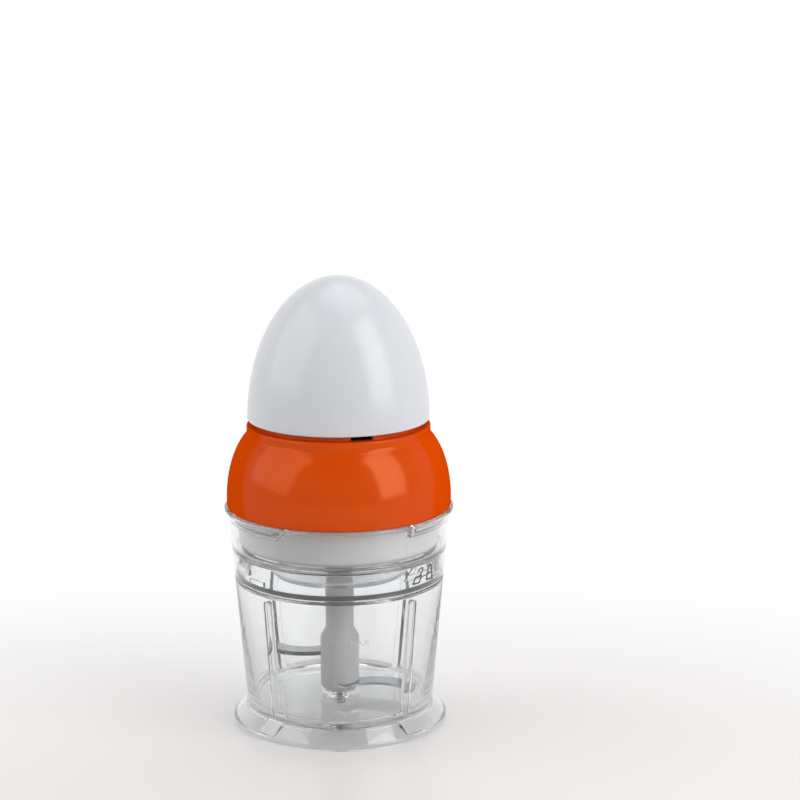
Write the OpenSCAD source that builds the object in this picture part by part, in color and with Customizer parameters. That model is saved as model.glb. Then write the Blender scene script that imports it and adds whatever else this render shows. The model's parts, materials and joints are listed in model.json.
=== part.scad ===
// Electric mini chopper: clear bowl, clear twist lid and a press-to-run motor unit.
// Millimetres, +Z up, front towards -Y. The origin is on the table, at the bowl's axis.

/* [Bowl] */
// Outer radius of the flared foot
foot_r = 53.8; // [52:0.2:56]
// Height of the flared foot
foot_h = 9.5; // [8.5:0.1:11]
// Height of the foot's upright lip
foot_lip = 2.4; // [1.5:0.1:3.5]
// Wall of the flared foot
foot_wall = 2.2; // [1.8:0.1:2.8]
// Outer radius of the bowl just above the foot
base_r = 46.8; // [45.4:0.2:48]
// Outer radius of the bowl where the lid's skirt ends
shoulder_r = 52.4; // [51.4:0.2:54]
// Height of the bowl's rim above the table
bowl_h = 88; // [84:0.5:92]
// Wall of the bowl
bowl_wall = 2; // [1.6:0.1:2.6]
// Wall of the bowl's rim, inside the lid
rim_wall = 1.9; // [1.5:0.1:2.2]
// Thickness of the ledge under the lid's skirt
ledge_t = 2.4; // [1.8:0.1:3]
// Thickness of the bowl's floor
floor_t = 2.6; // [2:0.1:3.4]
// Height of the hollow under the floor
under_h = 7.5; // [6.5:0.1:8.5]
// Radius of the corner between wall and floor
floor_fillet = 5; // [3:0.5:7]
// Number of stirring ribs
rib_count = 4; // [3:1:6]
// Width of a stirring rib
rib_w = 4; // [3:0.5:7]
// Depth of a stirring rib
rib_d = 2.5; // [1.5:0.1:3]
// Height of the ribs' tops above the table
rib_top = 71; // [60:1:73]
// Turn of the first rib from the front
rib_turn = 47; // [40:1:52]

/* [Spindle and blades] */
// Radius of the spindle pin
spindle_r = 2.8; // [2.4:0.1:3.2]
// Height of the spindle pin above its boss
spindle_h = 48; // [40:1:56]
// Radius of the spindle's boss
boss_r = 9; // [8:0.5:11]
// Height of the spindle's boss above the floor
boss_h = 2.5; // [2:0.1:4]
// Thickness of the thrust washer
washer_t = 1; // [0.8:0.1:1.5]
// Radius of the blade hub's tube
hub_r = 7.1; // [6.8:0.1:7.3]
// Radius of the blade hub's foot
hub_foot_r = 9.9; // [9:0.1:11]
// Height of the blade hub's foot, up to its flare
hub_foot_h = 28; // [26:0.5:32]
// Height of the flare from the foot to the tube
hub_flare_h = 5; // [3:0.5:8]
// Wall of the hub's bearing sleeve
sleeve_wall = 1.5; // [1.2:0.1:1.7]
// Reach of the blades from the axis
blade_r = 40; // [34:0.5:40.5]
// Width of a blade
blade_w = 11; // [8:0.5:13]
// Thickness of a blade
blade_t = 1.2; // [0.8:0.1:1.6]
// Width of the ground edge of a blade
blade_bevel = 2.6; // [1:0.2:4]
// Height of the lower blade above the hub's end
lower_blade_h = 2.4; // [2:0.1:4]
// Height of the upper blade above the hub's end
upper_blade_h = 17; // [14:0.5:22]

/* [Lid] */
// Wall of the lid
lid_wall = 1.8; // [1.5:0.1:2.1]
// Height of the lid's skirt below the bowl's rim
skirt_h = 12.4; // [11.6:0.1:13.5]
// Rise of the lid's top edge above the bowl's rim
lid_rise = 22.5; // [21:0.5:26]
// Reach of the lid's top bead past the lid's wall
bead_d = 2.1; // [1.5:0.1:3]
// Height of the lid's top bead
bead_h = 2.6; // [2:0.1:3.4]
// Thickness of the lid seal
seal_t = 1.2; // [0.8:0.1:1.8]
// Height of the bowl seal, which stands on the bowl's shoulder
bowl_seal_h = 2.3; // [1.5:0.1:2.8]
// Radius of the lid's well
well_r = 34; // [30:0.5:37]
// Depth of the lid's well below its plate
well_d = 14; // [11:0.5:16]
// Depth of a twist-lock lug
lock_d = 1.1; // [0.9:0.05:1.2]
// Play between the bowl's rim and the lid's skirt
lock_gap = 1.5; // [1.4:0.05:1.7]
// Number of twist-lock lugs
lock_count = 3; // [2:1:3]

/* [Motor unit shell] */
// Outer radius of the base cover
cover_r = 49.4; // [48.8:0.1:49.8]
// Radius of the base cover's lower edge
cover_fillet = 3; // [2:0.5:4]
// Wall of the base cover
cover_wall = 2.2; // [1.8:0.1:2.6]
// Thickness of the base cover's floor
cover_floor = 2.4; // [2:0.1:3]
// Height of a keying lug
lug_h = 5; // [4:0.5:6]
// Depth of a keying lug
lug_d = 2.6; // [2:0.1:2.9]
// Room between a keying lug and the lid's wall
lug_room = 1.1; // [0.8:0.1:1.6]
// Width of a keying lug, in degrees
lug_span = 42; // [30:1:46]
// Outer radius of the motor housing
body_r = 55.8; // [55:0.1:56.6]
// Height of the motor housing up to its deck
body_h = 41.3; // [40:0.1:46]
// Height of the housing's straight lower band
band_h = 4.2; // [3:0.2:6]
// Radius of the housing's neck
neck_r = 45.5; // [45.2:0.1:46]
// Wall of the motor housing
body_wall = 2.2; // [1.8:0.1:2.6]
// Radius of the cord gland's bore
gland_bore_r = 3.2; // [2.6:0.1:3.6]
// Height of the cord gland above the housing's lower edge
gland_h = 15.2; // [14:0.2:17]

/* [Press dome] */
// Outer radius of the dome's edge
dome_r = 45.1; // [44.9:0.1:45.6]
// Height of the dome
dome_h = 70.7; // [68:0.1:76]
// Wall of the dome
dome_wall = 2.2; // [1.8:0.1:2.6]
// Travel of the dome
press_travel = 2.2; // [2.2:0.1:2.8]
// Width of a hook window, in degrees
window_span = 15; // [12:1:20]
// Turn of the first hook window from the front
window_turn = 17; // [0:1:40]

/* [Gears] */
// Module of the gear teeth
gear_module = 0.8; // [0.78:0.01:0.82]
// Width of the planet gears
gear_w = 6.8; // [5:0.2:8]
// Radius of a planet pin
planet_pin_r = 1.6; // [1.4:0.1:2]

/* [Motor] */
// Radius of the motor shaft
shaft_r = 2.5; // [2:0.1:2.8]
// Outer radius of the stator
stator_r = 29; // [28.6:0.1:29.4]
// Height of the stator's stack
stack_h = 24; // [20:1:27]
// Radius of the rotor
rotor_r = 14; // [13:0.1:14.2]
// Gap between the rotor and the stator
air_gap = 0.6; // [0.4:0.1:0.8]
// Height of the windings past the stack
coil_end = 6; // [4.5:0.5:7]
// Radius of the cooling fan
fan_r = 19.5; // [17:0.5:20]
// Number of fan vanes
fan_vanes = 9; // [7:1:11]
// Height of the cooling fan
fan_h = 6; // [4:0.5:7]
// Radius of the commutator
commutator_r = 9.5; // [8.5:0.1:10]
// Height of the commutator
commutator_h = 10; // [9:0.5:11]

/* [Fasteners and fits] */
// Radius of the screws' shanks
screw_r = 1.6; // [1.4:0.1:1.7]
// Radius of the screws' heads
screw_head_r = 2.9; // [2.6:0.1:3.1]
// Height of the screws' heads
screw_head_h = 2.2; // [1.8:0.1:2.6]
// Gap between pieces that seat on each other
seat_gap = 0.3; // [0.2:0.05:0.4]
// Gap between flat pieces that run or turn on each other
run_gap = 0.15; // [0.1:0.05:0.25]
// Radial clearance of a running fit
fit_gap = 0.05; // [0.03:0.01:0.08]

/* [Hidden] */
$fn = 96;
eps = 0.01;
edge_break = 0.6;
pressure_angle = 20;
front = -90;

// Bowl heights and radii
floor_z = under_h + floor_t;
boss_z = floor_z + boss_h;
boss_under_z = 1.5;
boss_wall = 3;
pin_floor = 1.8;
pin_z = boss_under_z + pin_floor;
shoulder_z = bowl_h - skirt_h;
skirt_in_r = shoulder_r - lid_wall;
bowl_neck_r = skirt_in_r - lock_gap;
bowl_rim_in_r = bowl_neck_r - rim_wall;
wall_foot_z = floor_z + floor_fillet;
wall_lean = atan((shoulder_r - base_r) / (shoulder_z - foot_h));
ledge_z = shoulder_z - ledge_t;

// Blade heights and radii
washer_z = boss_z + run_gap;
hub_z = washer_z + washer_t + run_gap;
spindle_top = boss_z + spindle_h;
sleeve_in_r = spindle_r + fit_gap;
sleeve_r = sleeve_in_r + sleeve_wall;
sleeve_h = hub_foot_h + hub_flare_h;
hub_relief = 0.6;
hub_bore_r = spindle_r + hub_relief;
hub_bore_room = 1.5;
hub_bore_top = spindle_top + hub_bore_room;
blade_arc_r = 24.5;
blade_arc_centre = [18, -26];
blade_root_gap = 0.9;
blade_root_r = sleeve_r + blade_root_gap;

// Lid heights and radii
seal_z = bowl_h + run_gap;
plate_z = seal_z + seal_t + run_gap;
plate_top = plate_z + lid_wall;
lid_top = bowl_h + lid_rise;
lid_top_r = cover_r + lug_d + lug_room + lid_wall;
bead_r = lid_top_r + bead_d;
skirt_z = shoulder_z + seat_gap;
bead_z = lid_top - bead_h;
lid_flare_z = bead_z - 1;
well_floor_z = plate_top - well_d;
well_hole_gap = 1.2;
well_hole_r = hub_r + well_hole_gap;
lock_w = 20;
bowl_seal_r = skirt_in_r - seat_gap;
bowl_seal_top = shoulder_z + bowl_seal_h;
lock_lug_lift = 0.4;
lock_lug_z = bowl_seal_top + lock_lug_lift;
lock_lug_h = 2.6;
lock_room = 0.6;
lock_cam_z = lock_lug_z + lock_lug_h + lock_room;
lock_cam_h = 3;
lock_turn = 52;

// Motor unit heights
cover_z = plate_top + seat_gap;
cover_floor_z = cover_z + cover_floor;
body_z = lid_top + seat_gap;
cover_h = body_z - cover_z;
lug_drop = 0.5;
lug_z = body_z - lug_h - lug_drop;
lug_turn = -54;
lug_lean = 60;
deck_z = body_z + body_h;
press_stop = 0.4;
dome_z = deck_z + press_travel + press_stop;
guide_gap = 0.9;
guide_r = dome_r - dome_wall - guide_gap;
guide_wall = 2;
guide_in_r = guide_r - guide_wall;
frame_w = 7;
frame_room = 1;
frame_out_r = guide_in_r - frame_room;
frame_r = frame_out_r - frame_w / 2;
frame_in_r = frame_out_r - frame_w;
guide_h = 8;
guide_top = deck_z + guide_h;
hook_h = 1.9;
hook_lift = 1;
hook_z = dome_z + hook_lift;
window_top = hook_z + hook_h + seat_gap;
flange_t = 2.2;
gland_z = body_z + gland_h;
gland_wall = 1.8;
gland_r = gland_bore_r + gland_wall;
gland_rim = 1.5;
gland_flange_r = gland_r + gland_rim;
gland_sunk = 3.2;
gland_seat_y = body_r - gland_sunk;
gland_l = 7;
gland_pad_l = 6;

// Gear train radii and heights; the numbers of teeth set the drive's ratio
sun_teeth = 12;
planet_teeth = 18;
ring_teeth = sun_teeth + 2 * planet_teeth;
sun_pitch_r = gear_module * sun_teeth / 2;
planet_pitch_r = gear_module * planet_teeth / 2;
ring_pitch_r = gear_module * ring_teeth / 2;
gear_centres = sun_pitch_r + planet_pitch_r;
tooth_out = 0.8 * gear_module;
tooth_in = 1.1 * gear_module;
tooth_thin = 0.12;
ring_gear_wall = 2.3;
ring_gear_r = ring_pitch_r + tooth_in + ring_gear_wall;
case_gap = 0.1;
case_r = ring_gear_r + case_gap;
case_wall = 2.5;
case_shelf = 0.5;
case_shelf_r = ring_pitch_r + tooth_in + case_shelf;
socket_play = 0.6;
socket_bore_r = hub_r + socket_play;
socket_wall = 3.3;
socket_r = socket_bore_r + socket_wall;
bush_wall = 2.5;
socket_seat_r = socket_r + bush_wall;
socket_lift = 0.6;
socket_z = cover_z + socket_lift;
seal_lift = 0.2;
seal_seat_z = socket_z + seal_lift;
shaft_seal_h = 2.2;
socket_d = 9.4;
socket_roof = 2.6;
socket_top = socket_z + socket_d + socket_roof;
tang_lift = 0.3;
tang_z = socket_z + tang_lift;
tang_room = 0.7;
tang_top = socket_z + socket_d - tang_room;
tang_core_r = 3.8;
tang_w = 4.4;
dog_in_r = tang_core_r + socket_play;
dog_z = tang_z + socket_play;
tube_top = socket_top - seat_gap;
carrier_t = 2.6;
carrier_edge = 4.4;
carrier_r = gear_centres + planet_pin_r + carrier_edge;
carrier_spigot_r = 5;
planet_z = socket_top + carrier_t + seat_gap;
gear_seat_drop = 0.2;
gear_seat_z = planet_z - gear_seat_drop;
gear_top = planet_z + gear_w;
gear_head = 0.9;
motor_plate_z = gear_top + gear_head;
pin_past = 0.4;

// Motor heights and radii
motor_plate_t = 3;
motor_plate_r = frame_out_r;
motor_plate_top = motor_plate_z + motor_plate_t;
bearing_wall = 3.4;
bearing_h = 7.8;
bearing_r = shaft_r + fit_gap + bearing_wall;
fan_gap = 1.8;
fan_z = motor_plate_z + bearing_h + fan_gap;
coil_z = fan_z + fan_h + fan_gap;
stack_z = coil_z + coil_end;
stack_top = stack_z + stack_h;
coil_top = stack_top + coil_end;
commutator_gap = 2.4;
commutator_z = coil_top + commutator_gap;
commutator_top = commutator_z + commutator_h;
bracket_gap = 1.6;
bracket_z = commutator_top + bracket_gap;
bracket_t = 3.5;
upper_bearing_h = 7.2;
upper_bearing_top = bracket_z + upper_bearing_h;
shaft_z = gear_seat_z;
shaft_past = 1.2;
shaft_top = upper_bearing_top + shaft_past;
bore_r = rotor_r + air_gap;
coil_gap = 0.6;
coil_in_r = bore_r + coil_gap;
coil_t = 5.2;
coil_r = coil_in_r + coil_t;
pole_window_r = coil_r + coil_gap;
bolt_edge = 4;
bolt_x = stator_r - bolt_edge;
pillar_r = 3.8;
brush_w = 5;
brush_l = 10;
brush_play = 0.1;
brush_drop = 3.6;
brush_z = bracket_z - brush_drop;
holder_wall = 1.1;
holder_cap = 0.8;
holder_gap = 1.6;
holder_l = 14;
holder_y0 = commutator_r + holder_gap;
holder_y1 = holder_y0 + holder_l;
spring_slack = 0.1;

// Frame, switch and springs
frame_t = 3;
frame_lift = 2;
frame_z = stack_top + frame_lift;
frame_top = frame_z + frame_t;
column_r = 3;
spring_wire_r = 0.4;
spring_r = 2.6;
spring_turns = 5;
spring_z = frame_top + run_gap;
spring_room = 14;
spring_post_z = frame_top + spring_room;
spring_top = spring_post_z - run_gap;
switch_size = [12.8, 5.8, 6.5];
pivot_x = -5;
pivot_r = 0.6;
pivot_lift = 0.8;
pivot_z = frame_top + switch_size[2] + pivot_lift;
lever_l = 10.6;
lever_t = 0.5;
lever_rest = 20;
lever_tip_z = pivot_z + lever_l * sin(lever_rest) + lever_t;
switch_post_z = lever_tip_z + seat_gap;
column_turns = [60, 180, 300];
spring_turns_at = [0, 120, 240];
planet_turns = [0, 120, 240];
corner_turns = [45, 135, 225, 315];
plate_screw_room = 4;
plate_screw_r = case_r + case_wall + plate_screw_room;
screw_boss_wall = 1.5;
body_screw_boss_r = screw_head_r + screw_boss_wall;
body_screw_inset = 1;
body_screw_r = cover_r - body_screw_boss_r - body_screw_inset;
body_screw_grip = 8;
body_screw_seat_z = body_z - body_screw_grip;
screw_play = 0.1;
screw_hole_r = screw_r + screw_play;
screw_wall = 2.2;
screw_post_r = screw_r + screw_wall;
flange_in_r = body_screw_r - body_screw_inset;
screw_bite = 10;
screw_hole_h = screw_bite + 1;

// Lead wires: routes chosen by hand, from the gland to the switch and to the upper winding end
wire_r = 1;
wire_ref = [1, 0, 0];
switch_wire = [
    [1.6, gland_seat_y - gland_l - 1, gland_z], [1.7, 41, gland_z + 1], [1.9, 38, gland_z + 4.5],
    [2, frame_r + 1.1, gland_z + 11], [2, frame_r + 0.7, gland_z + 20],
    [2, frame_r + 0.5, (gland_z + frame_z) / 2 + 6], [2, frame_r + 0.5, frame_z - 1.2],
    [2, frame_r + 0.5, frame_z - 0.1]
];
coil_wire = [
    [-1.6, gland_seat_y - gland_l - 1, gland_z], [-1.8, 41, gland_z + 1], [-2.6, 37.4, gland_z + 4.5],
    [-4, frame_in_r + 2.4, gland_z + 12], [-5, frame_in_r + 0.6, gland_z + 22],
    [-5.4, frame_in_r - 1.2, stack_top - 4], [-5.4, frame_in_r - 2.8, coil_top - 3],
    [-5.4, 26.4, coil_top + 0.6], [-5.4, 22.6, coil_top + 1.1],
    [-5.4, 19, coil_top + 1.1]
];

// Colours
clear = [0.86, 0.92, 0.93, 0.35];
white = "#dfe1e5";
orange = "#d9561c";
pale_grey = "#a9a9ac";
dark_grey = "#4a4a4d";
steel = "#b9bcc0";
iron = "#6f7378";
copper = "#b46a33";
brass = "#c2a14d";
nylon = "#e9e4d2";
black = "#262628";

// Radius at height z on the straight line from point a to point b, both [radius, height]
function on_line(a, b, z) = a[0] + (b[0] - a[0]) * (z - a[1]) / (b[1] - a[1]);

// Points of a circular arc about c, from angle a0 to a1
function arc(c, r, a0, a1, n = 6) = [
    for (i = [0:n])
        let (a = a0 + (a1 - a0) * i / n)
        [c[0] + r * cos(a), c[1] + r * sin(a)]
];

// Points of a quarter ellipse about [r0, z0], from its side to its top, stopped at the fraction f
function side_arc(r0, z0, a, b, f = 1, n = 20) = [
    for (i = [0:n])
        let (t = 90 * f * i / n)
        [r0 + a * cos(t), z0 + b * sin(t)]
];

// A ring or disc turned about the axis
module turned(r_in, r_out, z0, z1) {
    rotate_extrude()
        translate([r_in, z0])
            square([r_out - r_in, z1 - z0]);
}

// A piece of a ring between two angles
module sector(r_in, r_out, z0, z1, a0, a1) {
    rotate([0, 0, a0])
        rotate_extrude(angle = a1 - a0)
            translate([r_in, z0])
                square([r_out - r_in, z1 - z0]);
}

// An upright round post at a place on a circle
module post(at_r, turn, r, z0, z1) {
    rotate([0, 0, turn])
        translate([at_r, 0, z0])
            cylinder(r = r, h = z1 - z0);
}

// A screw with its head's seat at height z, pointing down (way = -1) or up (way = 1)
module screw(at_r, turn, z, length, way) {
    rotate([0, 0, turn])
        translate([at_r, 0, z])
            rotate([way < 0 ? 180 : 0, 0, 0]) {
                translate([0, 0, -eps])
                    cylinder(r = screw_r, h = length + eps);
                difference() {
                    translate([0, 0, -screw_head_h])
                        cylinder(r = screw_head_r, h = screw_head_h);
                    for (a = [0, 90])
                        rotate([0, 0, a])
                            translate([-screw_head_r * 0.6, -0.4, -screw_head_h - eps])
                                cube([screw_head_r * 1.2, 0.8, screw_head_h * 0.5]);
                }
            }
}

// Bowl
function bowl_out_r(z) = on_line([base_r, foot_h], [shoulder_r, shoulder_z], z);
bowl_in_r = bowl_out_r(wall_foot_z) - bowl_wall;
foot_pts = [[foot_r, foot_lip], [base_r, foot_h]];
foot_in_r = on_line(foot_pts[0], foot_pts[1], under_h) - foot_wall;
bowl_profile = concat(
    [
        [0, under_h], [foot_in_r, under_h], [foot_r - foot_wall, foot_lip], [foot_r - foot_wall, 0],
        [foot_r - edge_break, 0], [foot_r, edge_break], foot_pts[0], foot_pts[1], [shoulder_r, shoulder_z],
        [bowl_neck_r, shoulder_z], [bowl_neck_r, bowl_h], [bowl_rim_in_r, bowl_h],
        [bowl_rim_in_r, shoulder_z - ledge_t / 2], [bowl_out_r(ledge_z) - bowl_wall, ledge_z]
    ],
    arc([bowl_in_r - floor_fillet, wall_foot_z], floor_fillet, 0, -90),
    [[0, floor_z]]
);

module stirring_rib() {
    sunk = bowl_wall / 2;
    rib_drop = floor_fillet + floor_t / 2;
    rib_h = (rib_top - rib_w / 2 - wall_foot_z) / cos(wall_lean);
    translate([bowl_in_r, 0, wall_foot_z])
        rotate([0, wall_lean, 0])
            translate([-rib_d, 0, 0]) {
                translate([0, -rib_w / 2, -rib_drop])
                    cube([rib_d + sunk, rib_w, rib_h + rib_drop]);
                translate([0, 0, rib_h])
                    rotate([0, 90, 0])
                        cylinder(r = rib_w / 2, h = rib_d + sunk);
            }
}

module foot_gusset() {
    gusset_t = 10;
    gusset_in_r = foot_in_r - 6;
    rotate([90, 0, 0])
        linear_extrude(gusset_t, center = true)
            polygon([
                [gusset_in_r, under_h + floor_t / 2], [foot_in_r, under_h + floor_t / 2],
                [foot_r - foot_wall / 2, foot_lip], [foot_r - foot_wall - 1, foot_lip]
            ]);
}

// Bowl half of the twist lock: a level cam and a slanted stop at its far end
module lock_cam() {
    cam_r = bowl_neck_r + lock_d;
    cam_in_r = bowl_neck_r - rim_wall / 2;
    inset = 0.2;
    stop_lean = 40;
    stop_w = 2.4;
    sector(cam_in_r, cam_r, lock_cam_z, lock_cam_z + lock_cam_h, -lock_w / 2, lock_w / 2);
    intersection() {
        turned(cam_in_r + inset, cam_r - inset, lock_cam_z + inset, bowl_h - inset);
        rotate([0, 0, -lock_w / 2])
            translate([cam_in_r - lock_d, -stop_w / 2, lock_cam_z])
                rotate([-stop_lean, 0, 0])
                    translate([0, 0, -stop_w / 2])
                        cube([4 * lock_d + rim_wall, stop_w, bowl_h]);
    }
}

module bowl() {
    color(clear)
        difference() {
            union() {
                rotate_extrude()
                    polygon(bowl_profile);
                translate([0, 0, floor_z - floor_t / 2])
                    cylinder(r = boss_r, h = boss_h + floor_t / 2);
                translate([0, 0, boss_under_z])
                    cylinder(r = spindle_r + boss_wall, h = floor_z - floor_t / 2 - boss_under_z);
                for (i = [0:rib_count - 1])
                    rotate([0, 0, front + rib_turn + 360 * i / rib_count]) {
                        stirring_rib();
                        foot_gusset();
                    }
                for (i = [0:lock_count - 1])
                    rotate([0, 0, front + lock_turn + 360 * i / lock_count])
                        lock_cam();
            }
            translate([0, 0, pin_z])
                cylinder(r = spindle_r, h = bowl_h);
        }
}

module spindle_pin() {
    tip = 1.2;
    color(steel) {
        translate([0, 0, pin_z])
            cylinder(r = spindle_r, h = spindle_top - pin_z - tip);
        translate([0, 0, spindle_top - tip])
            cylinder(r1 = spindle_r, r2 = spindle_r - tip, h = tip);
    }
}

module thrust_washer() {
    color(nylon)
        turned(spindle_r + 0.2, boss_r - 0.6, washer_z, washer_z + washer_t);
}

// Blade set
hub_flare_z = hub_z + hub_foot_h;
hub_profile = [
    [0, hub_z], [hub_foot_r - edge_break, hub_z], [hub_foot_r, hub_z + edge_break], [hub_foot_r, hub_flare_z],
    [hub_foot_r - 0.5, hub_flare_z + 1], [hub_r + 0.4, hub_flare_z + hub_flare_h - 1],
    [hub_r, hub_flare_z + hub_flare_h], [hub_r, tang_z], [0, tang_z]
];

// One crescent blade with a ground outer edge, pointing along +X from the hub
module crescent_blade(z) {
    arc_in_r = blade_arc_r - blade_w / 2;
    arc_out_r = blade_arc_r + blade_w / 2;
    difference() {
        intersection() {
            translate([blade_arc_centre[0], blade_arc_centre[1], z])
                rotate([0, 0, -10])
                    rotate_extrude(angle = 150)
                        polygon([
                            [arc_in_r, 0], [arc_out_r, 0], [arc_out_r, 0.15],
                            [arc_out_r - blade_bevel, blade_t], [arc_in_r, blade_t]
                        ]);
            translate([0, 0, z - 1])
                cylinder(r = blade_r, h = blade_t + 2);
            translate([-2, -blade_r, z - 1])
                cube([blade_r + 4, 2 * blade_r, blade_t + 2]);
        }
        translate([0, 0, z - 1])
            cylinder(r = blade_root_r, h = blade_t + 2);
    }
}

module lower_blade() {
    color(steel)
        crescent_blade(hub_z + lower_blade_h);
}

module upper_blade() {
    color(steel)
        rotate([0, 0, 180])
            crescent_blade(hub_z + upper_blade_h);
}

module blade_hub() {
    wing_h = tang_top - tang_z;
    color(pale_grey)
        difference() {
            union() {
                rotate_extrude()
                    polygon(hub_profile);
                translate([0, 0, tang_z - eps])
                    cylinder(r = tang_core_r, h = wing_h + eps);
                intersection() {
                    translate([-hub_r, -tang_w / 2, tang_z - eps])
                        cube([2 * hub_r, tang_w, wing_h + eps]);
                    cylinder(r = hub_r, h = tang_top + 1);
                }
            }
            translate([0, 0, hub_z - 1])
                cylinder(r = sleeve_r, h = sleeve_h + 1);
            translate([0, 0, hub_z])
                cylinder(r = hub_bore_r, h = hub_bore_top - hub_z);
            lower_blade();
            upper_blade();
        }
}

module hub_sleeve() {
    color(brass)
        turned(sleeve_in_r, sleeve_r, hub_z, hub_z + sleeve_h);
}

// Lid
function lid_out_r(z) = on_line([shoulder_r, shoulder_z], [lid_top_r, lid_flare_z], z);
cup_r = lid_out_r(plate_top) - lid_wall;
well_in_r = well_r - lid_wall;
lid_profile = [
    [skirt_in_r, skirt_z], [lid_out_r(skirt_z), skirt_z], [lid_top_r, lid_flare_z], [bead_r, bead_z],
    [bead_r, lid_top - edge_break], [bead_r - edge_break, lid_top], [lid_top_r - lid_wall, lid_top],
    [lid_top_r - lid_wall, lid_flare_z], [cup_r, plate_top + 1], [cup_r - 1, plate_top],
    [well_in_r + 0.8, plate_top], [well_in_r, plate_top - 0.8], [well_in_r, well_floor_z + lid_wall + 1.2],
    [well_in_r - 1.2, well_floor_z + lid_wall], [well_hole_r, well_floor_z + lid_wall],
    [well_hole_r, well_floor_z], [well_r - 1.8, well_floor_z], [well_r, well_floor_z + 1.8],
    [well_r, plate_z], [lid_out_r(plate_z) - lid_wall, plate_z]
];

// Cuts away what lies past a slanted face through the axis, at a turn and a height
module past_slant(turn, z) {
    rotate([0, 0, turn])
        translate([0, 0, z])
            rotate([-lug_lean, 0, 0])
                translate([cover_r / 2, 0, -2 * lug_h])
                    cube([cover_r, 3 * lug_h, 4 * lug_h]);
}

// Keying lug of the base cover: square at its left end, slanted at its right end
lug_a0 = front + lug_turn - lug_span / 2;
lug_a1 = front + lug_turn + lug_span / 2;
lug_r = cover_r + lug_d;
lug_mid_z = lug_z + lug_h / 2;

module key_lug() {
    difference() {
        sector(cover_r - cover_wall / 2, lug_r, lug_z, lug_z + lug_h, lug_a0, lug_a1 + 9);
        past_slant(lug_a1, lug_mid_z);
    }
}

// Stops inside the lid on both sides of a keying lug, and the rail that the lug stands over
module key_stops() {
    stop_in_r = cover_r + 0.6;
    stop_out_r = lid_top_r - lid_wall / 2;
    stop_top = lid_top - 0.6;
    inset = 0.15;
    sector(stop_in_r + inset, stop_out_r + inset, lug_z - 1 + inset, lug_z - seat_gap,
        lug_a0 - 2, lug_a1 + 0.2);
    sector(stop_in_r, stop_out_r, lug_z - 1, stop_top, lug_a0 - 3.4, lug_a0 - 1);
    difference() {
        sector(stop_in_r, stop_out_r, lug_z - 1, stop_top, lug_a1 - 8, lug_a1 + 12);
        past_slant(lug_a1 + 4.2, lug_mid_z);
        difference() {
            sector(stop_in_r - 1, stop_out_r + 1, lug_z - 2, stop_top + 1, lug_a1 - 30, lug_a1 + 18);
            past_slant(lug_a1 + 1.6, lug_mid_z);
        }
    }
}

module lid() {
    color(clear) {
        rotate_extrude()
            polygon(lid_profile);
        for (i = [0:2])
            rotate([0, 0, 120 * i])
                key_stops();
        for (i = [0:lock_count - 1])
            rotate([0, 0, front + lock_turn + 360 * i / lock_count])
                sector(skirt_in_r - lock_d, skirt_in_r + lid_wall / 2, lock_lug_z, lock_lug_z + lock_lug_h,
                    lock_w / 2 + 2, lock_w / 2 + 14);
    }
}

module bowl_seal() {
    color(dark_grey)
        turned(bowl_neck_r, bowl_seal_r, shoulder_z, bowl_seal_top);
}

module lid_seal() {
    color(dark_grey)
        turned(bowl_rim_in_r + 0.2, bowl_neck_r - 0.1, seal_z, seal_z + seal_t);
}

// Motor unit shell
cover_profile = concat(
    [[socket_r + 0.4, cover_z]],
    arc([cover_r - cover_fillet, cover_z + cover_fillet], cover_fillet, -90, 0),
    [
        [cover_r, body_z], [cover_r - cover_wall, body_z], [cover_r - cover_wall, cover_floor_z],
        [case_r + case_wall, cover_floor_z], [case_r + case_wall, motor_plate_z], [case_r, motor_plate_z],
        [case_r, gear_seat_z], [case_shelf_r, gear_seat_z], [case_shelf_r, cover_floor_z],
        [socket_seat_r + case_wall, cover_floor_z], [socket_seat_r + case_wall, tube_top],
        [socket_seat_r, tube_top], [socket_seat_r, seal_seat_z], [socket_r + 0.4, seal_seat_z]
    ]
);

module base_cover() {
    color(pale_grey)
        difference() {
            union() {
                rotate_extrude()
                    polygon(cover_profile);
                for (i = [0:2])
                    rotate([0, 0, 120 * i])
                        key_lug();
                for (a = corner_turns) {
                    post(body_screw_r, a, body_screw_boss_r, cover_z + cover_floor / 2, body_z);
                    post(plate_screw_r, a, screw_post_r, cover_z + cover_floor / 2, motor_plate_z);
                }
            }
            for (a = corner_turns) {
                post(body_screw_r, a, screw_head_r + 0.3, cover_z - 1, body_screw_seat_z);
                post(body_screw_r, a, screw_hole_r, cover_z, body_z + 1);
                post(plate_screw_r, a, screw_r, motor_plate_z - screw_hole_h, motor_plate_z + 1);
            }
        }
}

// Housing: a straight band, an elliptical shoulder, a neck, and a guide ring that the dome slides on
shoulder_in_r = 35;
band_top = body_z + band_h;
shoulder_a = body_r - shoulder_in_r;
shoulder_b = 37.6;
neck_f = acos((neck_r - shoulder_in_r) / shoulder_a) / 90;
inner_a = shoulder_a - body_wall;
inner_b = shoulder_b - body_wall;
neck_in_r = neck_r - body_wall;
inner_f = acos((neck_in_r - shoulder_in_r) / inner_a) / 90;
inner_shoulder = side_arc(shoulder_in_r, band_top, inner_a, inner_b, inner_f);
body_profile = concat(
    [[flange_in_r, body_z], [body_r - edge_break, body_z], [body_r, body_z + edge_break]],
    side_arc(shoulder_in_r, band_top, shoulder_a, shoulder_b, neck_f),
    [
        [neck_r, deck_z - edge_break], [neck_r - edge_break, deck_z], [guide_r, deck_z], [guide_r, guide_top],
        [guide_in_r, guide_top], [guide_in_r, deck_z - body_wall], [neck_in_r, deck_z - body_wall]
    ],
    [for (i = [len(inner_shoulder) - 1:-1:0]) inner_shoulder[i]],
    [[body_r - body_wall, body_z + flange_t], [flange_in_r, body_z + flange_t]]
);

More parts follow.
